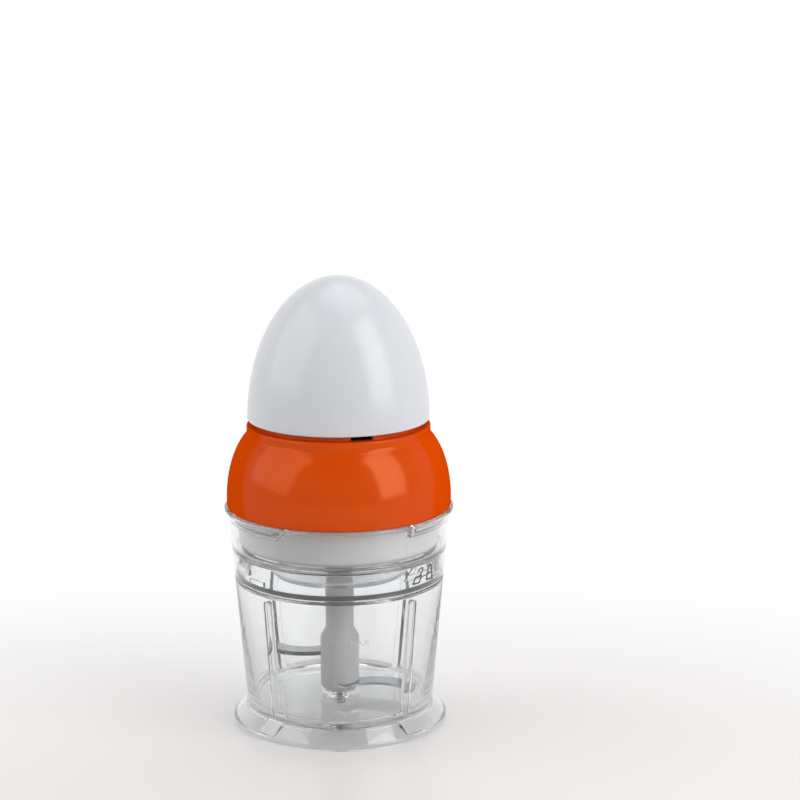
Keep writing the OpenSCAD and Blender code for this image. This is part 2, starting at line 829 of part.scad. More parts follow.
// A round bar along Y at the cord gland's height
module gland_bar(r, y0, y1) {
    translate([0, y0, gland_z])
        rotate([-90, 0, 0])
            cylinder(r = r, h = y1 - y0);
}

module motor_housing() {
    screw_hole_top = body_z + screw_hole_h;
    pad_in_y = gland_seat_y - gland_pad_l;
    color(orange)
        difference() {
            union() {
                rotate_extrude()
                    polygon(body_profile);
                for (a = corner_turns)
                    post(body_screw_r, a, screw_post_r, body_z, screw_hole_top + 2);
                gland_bar(gland_flange_r + gland_rim, pad_in_y, gland_seat_y);
            }
            for (a = corner_turns)
                post(body_screw_r, a, screw_r, body_z - 1, screw_hole_top);
            for (i = [0:2])
                rotate([0, 0, front + window_turn + 120 * i])
                    sector(guide_in_r - 1, guide_r + seat_gap, deck_z, window_top,
                        -window_span / 2, window_span / 2);
            gland_bar(gland_r + 0.1, pad_in_y - 1, body_r + 1);
            gland_bar(gland_flange_r + 0.2, gland_seat_y, body_r + 1);
        }
}

module housing_screws() {
    color(steel)
        for (a = corner_turns)
            screw(body_screw_r, a, body_screw_seat_z, body_z + screw_bite - body_screw_seat_z, 1);
}

module cord_gland() {
    flange_l = 2;
    nose_l = 1.8;
    color(black)
        difference() {
            union() {
                gland_bar(gland_r, gland_seat_y - gland_l, gland_seat_y + flange_l);
                gland_bar(gland_flange_r, gland_seat_y, gland_seat_y + flange_l);
                gland_bar(gland_bore_r + 1.2, gland_seat_y, gland_seat_y + flange_l + nose_l);
            }
            gland_bar(gland_bore_r, gland_seat_y - gland_l - 1, gland_seat_y + flange_l + nose_l + 1);
        }
}

module shaft_seal() {
    color(dark_grey)
        turned(socket_r + fit_gap, socket_seat_r, seal_seat_z, seal_seat_z + shaft_seal_h);
}

module output_bush() {
    color(brass)
        turned(socket_r + fit_gap, socket_seat_r, seal_seat_z + shaft_seal_h, tube_top);
}

// Gears
function involute(a) = tan(a) * 180 / PI - a;

// Half the angle that a tooth fills at radius r, with the tooth thinned at its pitch line
function tooth_half(teeth, thin, r) =
    let (pitch_r = gear_module * teeth / 2)
    let (base_r = pitch_r * cos(pressure_angle))
    let (half_pitch = (PI * gear_module / 2 - thin) / (2 * pitch_r) * 180 / PI)
    half_pitch + involute(pressure_angle) - involute(acos(min(1, base_r / max(r, base_r))));

function gear_outline(teeth, root_r, tip_r, thin, steps = 4) = [
    for (t = [0:teeth - 1], side = [-1, 1], i = [0:steps])
        let (r = root_r + (tip_r - root_r) * (side < 0 ? i : steps - i) / steps)
        let (a = 360 * t / teeth + side * tooth_half(teeth, thin, r))
        [r * cos(a), r * sin(a)]
];

// A spur gear about the axis, with a tooth at angle zero
module spur(teeth, pitch_r, z0, z1, bore) {
    translate([0, 0, z0])
        linear_extrude(z1 - z0)
            difference() {
                polygon(gear_outline(teeth, pitch_r - tooth_in, pitch_r + tooth_out, tooth_thin));
                circle(r = bore);
            }
}

module ring_gear() {
    color(nylon)
        translate([0, 0, gear_seat_z])
            linear_extrude(motor_plate_z - gear_seat_z)
                difference() {
                    circle(r = ring_gear_r);
                    rotate(180 / ring_teeth)
                        polygon(gear_outline(ring_teeth, ring_pitch_r - tooth_out, ring_pitch_r + tooth_in,
                            -tooth_thin));
                }
}

module sun_gear() {
    color(steel)
        spur(sun_teeth, sun_pitch_r, planet_z, gear_top + pin_past, shaft_r);
}

module planet_gear(i) {
    color(nylon)
        rotate([0, 0, planet_turns[i]])
            translate([gear_centres, 0, 0])
                rotate([0, 0, 180 / planet_teeth])
                    spur(planet_teeth, planet_pitch_r, planet_z, gear_top, planet_pin_r + fit_gap);
}

module planet_carrier() {
    color(iron)
        difference() {
            union() {
                turned(0, carrier_r, socket_top, socket_top + carrier_t);
                turned(0, carrier_spigot_r, socket_top - 2.4, socket_top + eps);
            }
            for (a = planet_turns)
                post(gear_centres, a, planet_pin_r, socket_top - 1, planet_z + 1);
        }
}

module planet_pins() {
    color(steel)
        for (a = planet_turns)
            post(gear_centres, a, planet_pin_r, socket_top, gear_top + pin_past);
}

module drive_socket() {
    color(pale_grey)
        difference() {
            union() {
                turned(socket_bore_r, socket_r, socket_z, socket_top);
                turned(carrier_spigot_r, socket_bore_r + eps, socket_z + socket_d, socket_top);
                difference() {
                    intersection() {
                        translate([-tang_w / 2, -socket_r, dog_z])
                            cube([tang_w, 2 * socket_r, socket_z + socket_d - dog_z + eps]);
                        cylinder(r = socket_bore_r + 1, h = socket_top);
                    }
                    cylinder(r = dog_in_r, h = socket_top);
                }
            }
        }
}

// Motor
module motor_plate() {
    color(dark_grey)
        difference() {
            union() {
                turned(0, motor_plate_r, motor_plate_z, motor_plate_top);
                turned(0, bearing_r + 2.6, motor_plate_z, motor_plate_z + bearing_h);
                for (a = [0, 180])
                    post(bolt_x, a, pillar_r, motor_plate_z, stack_z);
            }
            translate([0, 0, motor_plate_z - 1])
                cylinder(r = bearing_r, h = bearing_h + 2);
            for (a = corner_turns) {
                post(plate_screw_r, a, screw_hole_r, motor_plate_z - 1, motor_plate_top + 1);
                post(body_screw_r, a, screw_post_r + seat_gap, motor_plate_z - 1, motor_plate_top + 1);
            }
            for (a = column_turns)
                post(frame_r, a, screw_hole_r, motor_plate_z - 1, motor_plate_top + 1);
            for (a = [0, 180])
                post(bolt_x, a, screw_r, stack_z - screw_hole_h, stack_z + 1);
        }
}

module plate_screws() {
    color(steel)
        for (a = corner_turns)
            screw(plate_screw_r, a, motor_plate_top, motor_plate_t + screw_bite, -1);
}

module lower_bearing() {
    color(brass)
        turned(shaft_r + fit_gap, bearing_r, motor_plate_z, motor_plate_z + bearing_h);
}

module stator_core() {
    flat = 26;
    window_half = 42;
    color(iron)
        translate([0, 0, stack_z])
            linear_extrude(stack_h)
                difference() {
                    intersection() {
                        circle(r = stator_r);
                        square([2 * stator_r, 2 * flat], center = true);
                    }
                    circle(r = bore_r);
                    for (a = [0, 180])
                        rotate(a) {
                            intersection() {
                                circle(r = pole_window_r);
                                polygon([
                                    [0, 0], [stator_r, -stator_r * tan(window_half)],
                                    [stator_r, stator_r * tan(window_half)]
                                ]);
                            }
                            translate([bolt_x, 0])
                                circle(r = screw_hole_r);
                        }
                }
}

module field_coils() {
    end_turn = 4;
    leg_turn = 36;
    inset = 0.4;
    leg_in_r = coil_in_r + inset;
    leg_r = coil_r - inset;
    leg_z = coil_z + inset;
    leg_top = coil_top - inset;
    color(copper)
        for (a = [0, 180])
            rotate([0, 0, a]) {
                sector(coil_in_r, coil_r, coil_z, stack_z - run_gap, end_turn, 180 - end_turn);
                sector(coil_in_r, coil_r, stack_top + run_gap, coil_top, end_turn, 180 - end_turn);
                sector(leg_in_r, leg_r, leg_z, leg_top, end_turn + 1, leg_turn);
                sector(leg_in_r, leg_r, leg_z, leg_top, 180 - leg_turn, 179 - end_turn);
            }
}

module upper_bracket() {
    bridge_w = 16;
    arm_w = 10;
    color(steel)
        difference() {
            union() {
                for (a = [0, 180])
                    post(bolt_x, a, pillar_r, stack_top, bracket_z + bracket_t);
                translate([-bolt_x, -bridge_w / 2, bracket_z])
                    cube([2 * bolt_x, bridge_w, bracket_t]);
                translate([-arm_w / 2, -holder_y1, bracket_z])
                    cube([arm_w, 2 * holder_y1, bracket_t]);
                turned(0, bearing_r + 2.4, bracket_z, upper_bearing_top);
            }
            translate([0, 0, bracket_z - 1])
                cylinder(r = bearing_r, h = upper_bearing_h + 2);
            for (a = [0, 180])
                post(bolt_x, a, screw_hole_r, stack_top - 1, bracket_z + bracket_t + 1);
        }
}

module upper_bearing() {
    color(brass)
        turned(shaft_r + fit_gap, bearing_r, bracket_z, upper_bearing_top);
}

module motor_bolts() {
    seat = bracket_z + bracket_t;
    color(steel)
        for (a = [0, 180])
            screw(bolt_x, a, seat, seat - stack_z + screw_bite, -1);
}

// Pieces on both sides of the commutator, along Y
module both_sides() {
    for (a = [0, 180])
        rotate([0, 0, a])
            children();
}

module brush_holders() {
    outer = brush_w + 2 * (brush_play + holder_wall);
    inner = brush_w + 2 * brush_play;
    color(brass)
        both_sides()
            difference() {
                translate([-outer / 2, holder_y0, brush_z - outer / 2])
                    cube([outer, holder_l, bracket_z - brush_z + outer / 2]);
                translate([-inner / 2, holder_y0 - 1, brush_z - inner / 2])
                    cube([inner, holder_l + 1 - holder_cap, inner]);
            }
}

module carbon_brushes() {
    color(black)
        both_sides()
            translate([-brush_w / 2, commutator_r + seat_gap, brush_z - brush_w / 2])
                cube([brush_w, brush_l, brush_w]);
}

module brush_springs() {
    y0 = commutator_r + seat_gap + brush_l + spring_slack;
    color(steel)
        both_sides()
            translate([0, y0, brush_z])
                rotate([-90, 0, 0])
                    cylinder(r = brush_w * 0.42, h = holder_y1 - holder_cap - spring_slack - y0);
}

module top_frame() {
    color(dark_grey)
        difference() {
            union() {
                turned(frame_in_r, frame_out_r, frame_z, frame_top);
                for (a = column_turns)
                    post(frame_r, a, column_r, motor_plate_top, frame_z + eps);
                for (a = spring_turns_at)
                    post(frame_r, a, spring_r - 2 * spring_wire_r - 0.2, frame_top - eps, frame_top + 2.5);
            }
            for (a = column_turns)
                post(frame_r, a, screw_r, motor_plate_top - 1, motor_plate_top + screw_hole_h);
        }
}

module frame_screws() {
    color(steel)
        for (a = column_turns)
            screw(frame_r, a, motor_plate_z, motor_plate_t + screw_bite, 1);
}

module switch_body() {
    ear_t = 0.8;
    ear_w = 3;
    color(black)
        difference() {
            union() {
                translate([-switch_size[0] / 2, frame_r - switch_size[1] / 2, frame_top])
                    cube(switch_size);
                for (y = [frame_r - 2.4, frame_r + 2.4 - ear_t])
                    translate([pivot_x - ear_w / 2, y, frame_top + switch_size[2] - eps])
                        cube([ear_w, ear_t, 2]);
            }
            translate([pivot_x, frame_r - 4, pivot_z])
                rotate([-90, 0, 0])
                    cylinder(r = pivot_r + fit_gap, h = 8);
        }
}

module switch_lever() {
    lever_w = 2.4;
    color(steel) {
        translate([pivot_x, frame_r - 2.4, pivot_z])
            rotate([-90, 0, 0])
                cylinder(r = pivot_r, h = 4.8);
        translate([pivot_x, frame_r - lever_w / 2, pivot_z])
            rotate([0, -lever_rest, 0])
                translate([0, 0, -lever_t / 2])
                    cube([lever_l, lever_w, lever_t]);
    }
}

module suppressor_capacitor() {
    size = [16, 6.5, 12];
    color(orange)
        translate([-size[0] / 2, -motor_plate_r + 1.2, motor_plate_top])
            cube(size);
}

// A tube swept along points, as one closed mesh of triangles; refs give each ring's start direction
function unit(v) = v / norm(v);
function tube_ring(c, t, ref, r, sides) =
    let (u = unit(ref - (ref * t) * t))
    let (w = cross(t, u))
    [for (j = [0:sides - 1]) c + r * (cos(360 * j / sides) * u + sin(360 * j / sides) * w)];

module tube(path, refs, r, sides) {
    n = len(path);
    points = [
        for (i = [0:n - 1])
            let (t = unit(path[min(i + 1, n - 1)] - path[max(i - 1, 0)]))
            each tube_ring(path[i], t, refs[i], r, sides)
    ];
    walls = [
        for (i = [0:n - 2], j = [0:sides - 1])
            let (a = i * sides + j, b = i * sides + (j + 1) % sides)
            each [[a, a + sides, b], [b, a + sides, b + sides]]
    ];
    last = (n - 1) * sides;
    caps = [for (j = [1:sides - 2]) each [[0, j, j + 1], [last, last + j + 1, last + j]]];
    polyhedron(points, concat(walls, caps));
}

module lead_wires() {
    color("saddlebrown")
        tube(switch_wire, [for (p = switch_wire) wire_ref], wire_r, 8);
    color("steelblue")
        tube(coil_wire, [for (p = coil_wire) wire_ref], wire_r, 8);
}

// Return springs: open coils with straight ends, eight rings a turn
coil_steps = 8 * spring_turns;
spring_end = 2 * spring_wire_r;
coil_rise = spring_top - spring_z - 2 * spring_end;
spring_path = concat(
    [[spring_r, 0, spring_z]],
    [
        for (i = [0:coil_steps])
            let (a = 45 * i)
            [spring_r * cos(a), spring_r * sin(a), spring_z + spring_end + coil_rise * i / coil_steps]
    ],
    [[spring_r, 0, spring_top]]
);
spring_refs = [for (p = spring_path) [p[0], p[1], 0]];
spring_gap = min([
    for (i = [1:coil_steps - 4], j = [i + 5:1:coil_steps + 1]) norm(spring_path[i] - spring_path[j])
]) - 2 * spring_wire_r;
echo(str("least gap between the turns of a return spring: ", spring_gap, " mm"));

module return_springs() {
    color(steel)
        for (a = spring_turns_at)
            rotate([0, 0, a])
                translate([frame_r, 0, 0])
                    tube(spring_path, spring_refs, spring_wire_r, 6);
}

// Rotor
module rotor_shaft() {
    color(steel)
        translate([0, 0, shaft_z])
            cylinder(r = shaft_r, h = shaft_top - shaft_z);
}

module rotor_core() {
    slots = 12;
    color(iron)
        translate([0, 0, stack_z])
            linear_extrude(stack_h)
                difference() {
                    circle(r = rotor_r);
                    circle(r = shaft_r);
                    for (i = [0:slots - 1])
                        rotate(360 * i / slots)
                            translate([rotor_r - 0.6, 0])
                                square([2.4, 1.4], center = true);
                }
}

module rotor_windings() {
    winding_r = rotor_r - 1.2;
    color(copper) {
        turned(shaft_r + 2, winding_r, coil_z + 0.6, stack_z);
        turned(shaft_r + 2, winding_r, stack_top, coil_top - 0.6);
    }
}

module commutator() {
    bars = 24;
    color(copper)
        difference() {
            union() {
                turned(shaft_r, commutator_r, commutator_z, commutator_top);
                turned(shaft_r, commutator_r + 0.9, commutator_z, commutator_z + 1.6);
            }
            for (i = [0:bars - 1])
                rotate([0, 0, 360 * i / bars])
                    translate([commutator_r - 0.5, -0.2, commutator_z - 1])
                        cube([3, 0.4, commutator_h + 2]);
        }
}

module cooling_fan() {
    disc_t = 1.2;
    vane_t = 1.2;
    hub_fan_r = shaft_r + 3;
    color(black) {
        turned(shaft_r, hub_fan_r, fan_z, fan_z + fan_h);
        turned(hub_fan_r - eps, fan_r, fan_z, fan_z + disc_t);
        for (i = [0:fan_vanes - 1])
            rotate([0, 0, 360 * i / fan_vanes])
                translate([hub_fan_r - 0.3, -vane_t / 2, fan_z + disc_t - eps])
                    cube([fan_r - hub_fan_r - 0.5, vane_t, fan_h - disc_t]);
    }
}

// Press dome: an elliptical shell with hooks, spring posts and the switch post inside
dome_in_r = dome_r - dome_wall;
dome_in_h = dome_h - dome_wall;
dome_outer = side_arc(0, dome_z, dome_r, dome_h, 1, 28);
dome_inner = side_arc(0, dome_z, dome_in_r, dome_in_h, 1, 28);
dome_core = side_arc(0, dome_z, dome_r - dome_wall / 2, dome_h - dome_wall / 2, 1, 28);

// A post that hangs from the dome's inside, down to height z
module dome_post(at_r, turn, r, z) {
    intersection() {
        post(at_r, turn, r, z, dome_z + dome_h);
        rotate_extrude()
            polygon(concat([[0, dome_z]], dome_core));
    }
}

module press_dome() {
    hook_span = window_span - 1.6;
    switch_post_x = pivot_x + lever_l * cos(lever_rest) - 1.2;
    color(white) {
        rotate_extrude()
            polygon(concat(dome_outer, [for (i = [len(dome_inner) - 1:-1:0]) dome_inner[i]]));
        for (i = [0:2])
            rotate([0, 0, front + window_turn + 120 * i])
                sector(guide_in_r + 0.3, dome_in_r + dome_wall / 3, hook_z, hook_z + hook_h,
                    -hook_span / 2, hook_span / 2);
        for (a = spring_turns_at)
            dome_post(frame_r, a, spring_r + spring_wire_r + 0.3, spring_post_z);
        dome_post(norm([switch_post_x, frame_r]), atan2(frame_r, switch_post_x), 1.5, switch_post_z);
    }
}

bowl();
spindle_pin();
thrust_washer();
blade_hub();
hub_sleeve();
lower_blade();
upper_blade();
bowl_seal();
lid_seal();
lid();
base_cover();
motor_housing();
housing_screws();
cord_gland();
shaft_seal();
output_bush();
ring_gear();
motor_plate();
plate_screws();
lower_bearing();
stator_core();
field_coils();
upper_bracket();
upper_bearing();
motor_bolts();
brush_holders();
carbon_brushes();
brush_springs();
top_frame();
frame_screws();
switch_body();
suppressor_capacitor();
lead_wires();
return_springs();
rotor_shaft();
rotor_core();
rotor_windings();
commutator();
cooling_fan();
sun_gear();
planet_carrier();
planet_pins();
drive_socket();
planet_gear(0);  // planet_gear_1
planet_gear(1);  // planet_gear_2
planet_gear(2);  // planet_gear_3
switch_lever();
press_dome();
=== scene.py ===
import json
import math

import bmesh
import bpy
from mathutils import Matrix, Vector


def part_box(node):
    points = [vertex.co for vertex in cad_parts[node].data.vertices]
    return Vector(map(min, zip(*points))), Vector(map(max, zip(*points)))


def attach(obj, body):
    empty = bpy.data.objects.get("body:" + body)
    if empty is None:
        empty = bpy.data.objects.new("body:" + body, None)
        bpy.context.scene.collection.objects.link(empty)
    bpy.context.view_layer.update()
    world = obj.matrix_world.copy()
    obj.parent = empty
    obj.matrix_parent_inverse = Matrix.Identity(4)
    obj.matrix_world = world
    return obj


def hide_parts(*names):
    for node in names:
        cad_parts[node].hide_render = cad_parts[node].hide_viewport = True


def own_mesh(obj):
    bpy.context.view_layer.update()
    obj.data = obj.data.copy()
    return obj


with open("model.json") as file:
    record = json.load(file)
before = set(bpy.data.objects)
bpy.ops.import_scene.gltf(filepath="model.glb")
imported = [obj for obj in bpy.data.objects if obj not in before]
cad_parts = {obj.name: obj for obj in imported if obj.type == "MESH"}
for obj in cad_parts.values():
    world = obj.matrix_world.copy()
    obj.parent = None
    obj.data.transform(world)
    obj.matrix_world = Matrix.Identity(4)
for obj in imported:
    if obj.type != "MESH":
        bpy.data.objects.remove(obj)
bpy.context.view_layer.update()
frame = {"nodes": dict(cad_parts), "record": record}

bl_info = {
    "name": "Mini chopper looks",
    "version": (1, 0, 0),
    "blender": (4, 5, 0),
    "location": "View3D > Sidebar > Chopper",
    "description": "Dresses the packed mini chopper with shells, clear plastic, marks and a studio stage",
    "category": "Object",
}

# The unit, each CAD node's finish slot, and plain white
MM = 0.001
SLOT_OF_NODE = {s["node"]: s["material_slot"] for s in frame["record"]["subparts"]}
WHITE = (1, 1, 1, 1)

# Places that several pieces share: lengths in mm, turns in degrees
FRONT = -90
RIB_TURN, LOCK_TURN, HOOK_TURN, SCREW_TURN = FRONT + 47, FRONT + 52, FRONT + 17, 45
LOCKS = KEYS = HOOKS = SPRINGS = 3
SCREWS, SCREW_RING, SPRING_RING, GLAND_Z = 4, 44.0, 35.5, 126.0
# The clear outer walls: radius and height at the foot, then at the top, in mm
BOWL_WALL = (46.8, 9.5, 52.4, 75.6)
LID_WALL = (52.4, 75.6, 54.9, 106.9)


def lowest(name):
    """The height of a CAD node's foot, in mm."""
    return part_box(name)[0].z / MM


def highest(name):
    """The height of a CAD node's top, in mm."""
    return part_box(name)[1].z / MM


def reach(name):
    """How far a CAD node reaches from the axis towards +X, in mm."""
    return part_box(name)[1].x / MM


def wall_radius(wall, z):
    """The radius of a leaning wall at a height, in mm."""
    r_low, z_low, r_high, z_high = wall
    return r_low + (r_high - r_low) * (z - z_low) / (z_high - z_low)


# Settings that a user would change


class ChopperSizes(bpy.types.PropertyGroup):
    """Sizes of the finished pieces."""

    segments: bpy.props.IntProperty(
        name="Segments", description="Sides of the turned shells", default=144, min=48, max=256)
    edge_round: bpy.props.FloatProperty(
        name="Edge rounding", description="Radius on the shells' moulded edges", default=0.0006, unit="LENGTH")
    bowl_wall: bpy.props.FloatProperty(
        name="Bowl wall", description="Wall of the bowl", default=0.002, unit="LENGTH")
    foot_fillet: bpy.props.FloatProperty(
        name="Foot fillet", description="Rounding where the bowl runs into its foot", default=0.0016,
        unit="LENGTH")
    rib_count: bpy.props.IntProperty(
        name="Ribs", description="Number of stirring ribs in the bowl", default=4, min=2, max=8)
    dome_wall: bpy.props.FloatProperty(
        name="Dome wall", description="Wall of the press dome", default=0.0022, unit="LENGTH")
    neck_fillet: bpy.props.FloatProperty(
        name="Neck fillet", description="Rounding where the housing's shoulder meets its neck", default=0.004,
        unit="LENGTH")
    mark_height: bpy.props.FloatProperty(
        name="Mark height", description="Rise of the moulded marks above the clear wall", default=0.00025,
        unit="LENGTH")
    spring_wire: bpy.props.FloatProperty(
        name="Spring wire", description="Radius of the return springs' wire", default=0.0004, unit="LENGTH")


def colour(name, description, default):
    """A colour setting in linear light."""
    return bpy.props.FloatVectorProperty(
        name=name, description=description, default=default, size=3, subtype="COLOR", min=0, max=1)


class ChopperColours(bpy.types.PropertyGroup):
    """Colours of the finishes."""

    white_plastic: colour("Dome", "Gloss white of the press dome", (0.68, 0.70, 0.735))
    orange_plastic: colour("Housing", "Gloss orange of the motor housing", (0.70, 0.068, 0.001))
    grey_plastic: colour("Cover", "Satin grey of the base cover", (0.74, 0.735, 0.745))
    hub_plastic: colour("Hub", "Satin grey of the blade hub", (0.56, 0.555, 0.56))
    dark_plastic: colour("Frames", "Matt dark plastic inside the motor unit", (0.014, 0.014, 0.016))
    nylon: colour("Nylon", "Natural nylon of the gears and the washer", (0.71, 0.66, 0.51))
    soft_seal: colour("Seals", "Soft grey of the seals", (0.085, 0.085, 0.088))
    black_rubber: colour("Rubber", "Black of the cord gland and the leads", (0.010, 0.010, 0.010))
    steel: colour("Steel", "Bright steel of the blades, pins and screws", (0.46, 0.47, 0.49))
    iron: colour("Iron", "Stamped iron of the motor", (0.10, 0.105, 0.115))
    copper: colour("Copper", "Enamelled copper of the windings", (0.45, 0.125, 0.035))
    brass: colour("Brass", "Brass and sintered bronze", (0.54, 0.34, 0.085))
    carbon: colour("Carbon", "Carbon of the brushes", (0.008, 0.008, 0.008))
    fill_mark: colour("Fill mark", "Frosted white of the fill mark", (0.82, 0.82, 0.83))
    lock_mark: colour("Lock marks", "Grey of the padlock marks", (0.11, 0.11, 0.115))
    clear_plastic: colour("Clear plastic", "Tint of the bowl and the lid", (0.955, 0.965, 0.97))


class ChopperStage(bpy.types.PropertyGroup):
    """Camera, floor and light."""

    camera_place: bpy.props.FloatVectorProperty(
        name="Camera", description="Where the camera stands", default=(0.0304, -1.062, 0.393), size=3,
        subtype="TRANSLATION")
    camera_pitch: bpy.props.FloatProperty(
        name="Pitch", description="How far the camera looks down", default=math.radians(12.2), subtype="ANGLE")
    lens: bpy.props.FloatProperty(
        name="Lens", description="Focal length on a 36 mm sensor", default=99.0, min=20, max=200)
    floor_colour: colour("Floor", "Colour of the floor near the chopper", (0.83, 0.80, 0.785))
    window_light: bpy.props.FloatProperty(
        name="Window light", description="Power of the tall light at the right", default=7.8, min=0)
    soft_light: bpy.props.FloatProperty(
        name="Soft light", description="Power of the wide light at the left", default=9.0, min=0)
    top_light: bpy.props.FloatProperty(
        name="Top light", description="Power of the light overhead", default=6.4, min=0)
    room_light: bpy.props.FloatProperty(
        name="Room light", description="Level of the even light from all round", default=0.3, min=0)
    clear_bounces: bpy.props.IntProperty(
        name="Clear bounces", description="How often light may pass through the clear plastic", default=32,
        min=4)


def sizes():
    return bpy.context.scene.chopper_sizes


def colours():
    return bpy.context.scene.chopper_colours


# Meshes


def rounded(corners, steps=5):
    """An outline with its corners rounded. A corner is (radius, height, rounding) in mm."""
    points = []
    for i, (x, y, r) in enumerate(corners):
        here = Vector((x, y))
        back = Vector(corners[i - 1][:2]) - here
        ahead = Vector(corners[(i + 1) % len(corners)][:2]) - here
        room = 0.45 * min(back.length, ahead.length)
        half = back.angle(ahead, math.pi) / 2
        if r <= 0 or room < 1e-6 or half > 1.5:
            points.append((x, y))
            continue
        cut = min(r / math.tan(half), room)
        centre = here + (back.normalized() + ahead.normalized()).normalized() * cut / math.cos(half)
        start = here + back.normalized() * cut - centre
        end = here + ahead.normalized() * cut - centre
        a0 = math.atan2(start.y, start.x)
        turn = (math.atan2(end.y, end.x) - a0 + math.pi) % (2 * math.pi) - math.pi
        for k in range(steps + 1):
            a = a0 + turn * k / steps
            points.append((centre.x + start.length * math.cos(a), centre.y + start.length * math.sin(a)))
    return points


def arc(a, b, centre, turn, first=0.0, steps=40):
    """Points along an ellipse about a centre, through a turn in radians."""
    turns = [first + turn * i / steps for i in range(steps + 1)]
    return [(centre[0] + a * math.cos(t), centre[1] + b * math.sin(t)) for t in turns]


def circle(r, centre=(0, 0), steps=32):
    """The corners of a round outline."""
    return arc(r, r, centre, math.tau, steps=steps)[:-1]


def round_place(r, t, z):
    """A place in metres, from a radius and a height in mm and a turn in radians."""
    return (r * MM * math.cos(t), r * MM * math.sin(t), z * MM)


def as_mesh(made, name):
    """A mesh with outward faces and smooth shading, sharp only at real edges."""
    bmesh.ops.remove_doubles(made, verts=made.verts, dist=1e-7)
    bmesh.ops.recalc_face_normals(made, faces=made.faces)
    mesh = bpy.data.meshes.new(name)
    made.to_mesh(mesh)
    made.free()
    return smoothed(mesh)


def smoothed(mesh, degrees=32):
    mesh.shade_smooth()
    mesh.set_sharp_from_angle(angle=math.radians(degrees))
    return mesh


def lathe(name, outline):
    """A closed solid turned about the axis from an outline of (radius, height) in mm."""
    made = bmesh.new()
    n = sizes().segments
    rings = []
    for r, z in outline:
        turns = [2 * math.pi * j / n for j in range(n)] if r > 1e-4 else [0]
        rings.append([made.verts.new(round_place(r, t, z)) for t in turns])
    for i, ring in enumerate(rings):
        after = rings[(i + 1) % len(rings)]
        for j in range(n):
            k = (j + 1) % n
            if len(ring) > 1 and len(after) > 1:
                made.faces.new((ring[j], ring[k], after[k], after[j]))
            elif len(ring) > 1:
                made.faces.new((ring[j], ring[k], after[0]))
            elif len(after) > 1:
                made.faces.new((ring[0], after[k], after[j]))
    return as_mesh(made, name)


def sector(name, r_in, r_out, z_low, z_high, low_turns, high_turns=None, steps=16, bevel=0.0):
    """A piece of a ring in mm and degrees. Its ends lean where the turns at its foot and its top differ."""
    made = bmesh.new()
    high_turns = high_turns or low_turns
    rows = []
    for i in range(steps + 1):
        low, high = (math.radians(t[0] + (t[1] - t[0]) * i / steps) for t in (low_turns, high_turns))
        corners = [(r_in, z_low, low), (r_out, z_low, low), (r_out, z_high, high), (r_in, z_high, high)]
        rows.append([made.verts.new(round_place(r, t, z)) for r, z, t in corners])
    for row, after in zip(rows, rows[1:]):
        for j in range(4):
            k = (j + 1) % 4
            made.faces.new((row[j], row[k], after[k], after[j]))
    for row in (rows[0], rows[-1]):
        made.faces.new(row)
    if bevel:
        bmesh.ops.recalc_face_normals(made, faces=made.faces)
        sharp = [e for e in made.edges if e.calc_face_angle(0) > 0.6]
        bmesh.ops.bevel(made, geom=sharp, offset=bevel * MM, segments=2, profile=0.5, affect="EDGES")
    return as_mesh(made, name)


def prism(name, points, z_low, z_high, place=None, bevel=0.0):
    """A solid with a flat outline in mm. Place, if given, turns a point (x, y, z) in mm into its seat in mm."""
    made = bmesh.new()
    face = made.faces.new([made.verts.new((x, y, z_low)) for x, y in points])
    top = bmesh.ops.extrude_face_region(made, geom=[face])["geom"]
    lifted = [v for v in top if isinstance(v, bmesh.types.BMVert)]
    bmesh.ops.translate(made, verts=lifted, vec=(0, 0, z_high - z_low))
    if bevel:
        rim = {e for v in lifted for e in v.link_edges if all(u in lifted for u in e.verts)}
        bmesh.ops.bevel(made, geom=list(rim), offset=bevel, segments=3, profile=0.5, affect="EDGES")
    for v in made.verts:
        v.co = Vector(place(*v.co) if place else v.co) * MM
    return as_mesh(made, name)


def temporary(mesh, name="workpiece"):
    held = bpy.data.objects.new(name, mesh)
    bpy.context.scene.collection.objects.link(held)
    return held


def settled(held):
    """The evaluated mesh of a workpiece, which is then removed."""
    bpy.context.view_layer.update()
    graph = bpy.context.evaluated_depsgraph_get()
    mesh = bpy.data.meshes.new_from_object(held.evaluated_get(graph), depsgraph=graph)
    held.modifiers.clear()
    bpy.data.objects.remove(held)
    return mesh


def combined(base, others, operation):
    """One closed mesh from a base and the meshes that are added to it or cut from it."""
    held = temporary(base)
    tools = [temporary(m, "tool") for m in others]
    for tool in tools:
        step = held.modifiers.new("combine", "BOOLEAN")
        step.operation = operation
        step.solver = "EXACT"
        step.object = tool
    mesh = settled(held)
    for tool in tools:
        bpy.data.objects.remove(tool)
    return smoothed(mesh)


def trace(curve, places, closed=False):
    """Adds a line of straight runs through some places to a curve."""
    line = curve.splines.new("POLY")
    line.points.add(len(places) - 1)
    for point, place in zip(line.points, places):
        point.co = (*place, 1)
    line.use_cyclic_u = closed


def joined(name, meshes):
    """Several closed meshes as one."""
    made = bmesh.new()
    for m in meshes:
        made.from_mesh(m)
    mesh = bpy.data.meshes.new(name)
    made.to_mesh(mesh)
    made.free()
    return smoothed(mesh)


# Node trees


def node(tree, kind, inputs=None, **settings):
    """Adds a node. An input is a value, or a socket to link from."""
    made = tree.nodes.new(kind)
    for key, value in settings.items():
        setattr(made, key, value)
    for key, value in (inputs or {}).items():
        if isinstance(value, bpy.types.NodeSocket):
            tree.links.new(value, made.inputs[key])
        else:
            made.inputs[key].default_value = value
    return made


def maths(tree, operation, *values, **settings):
    """The result of a math node."""
    return node(tree, "ShaderNodeMath", dict(enumerate(values)), operation=operation, **settings).outputs[0]


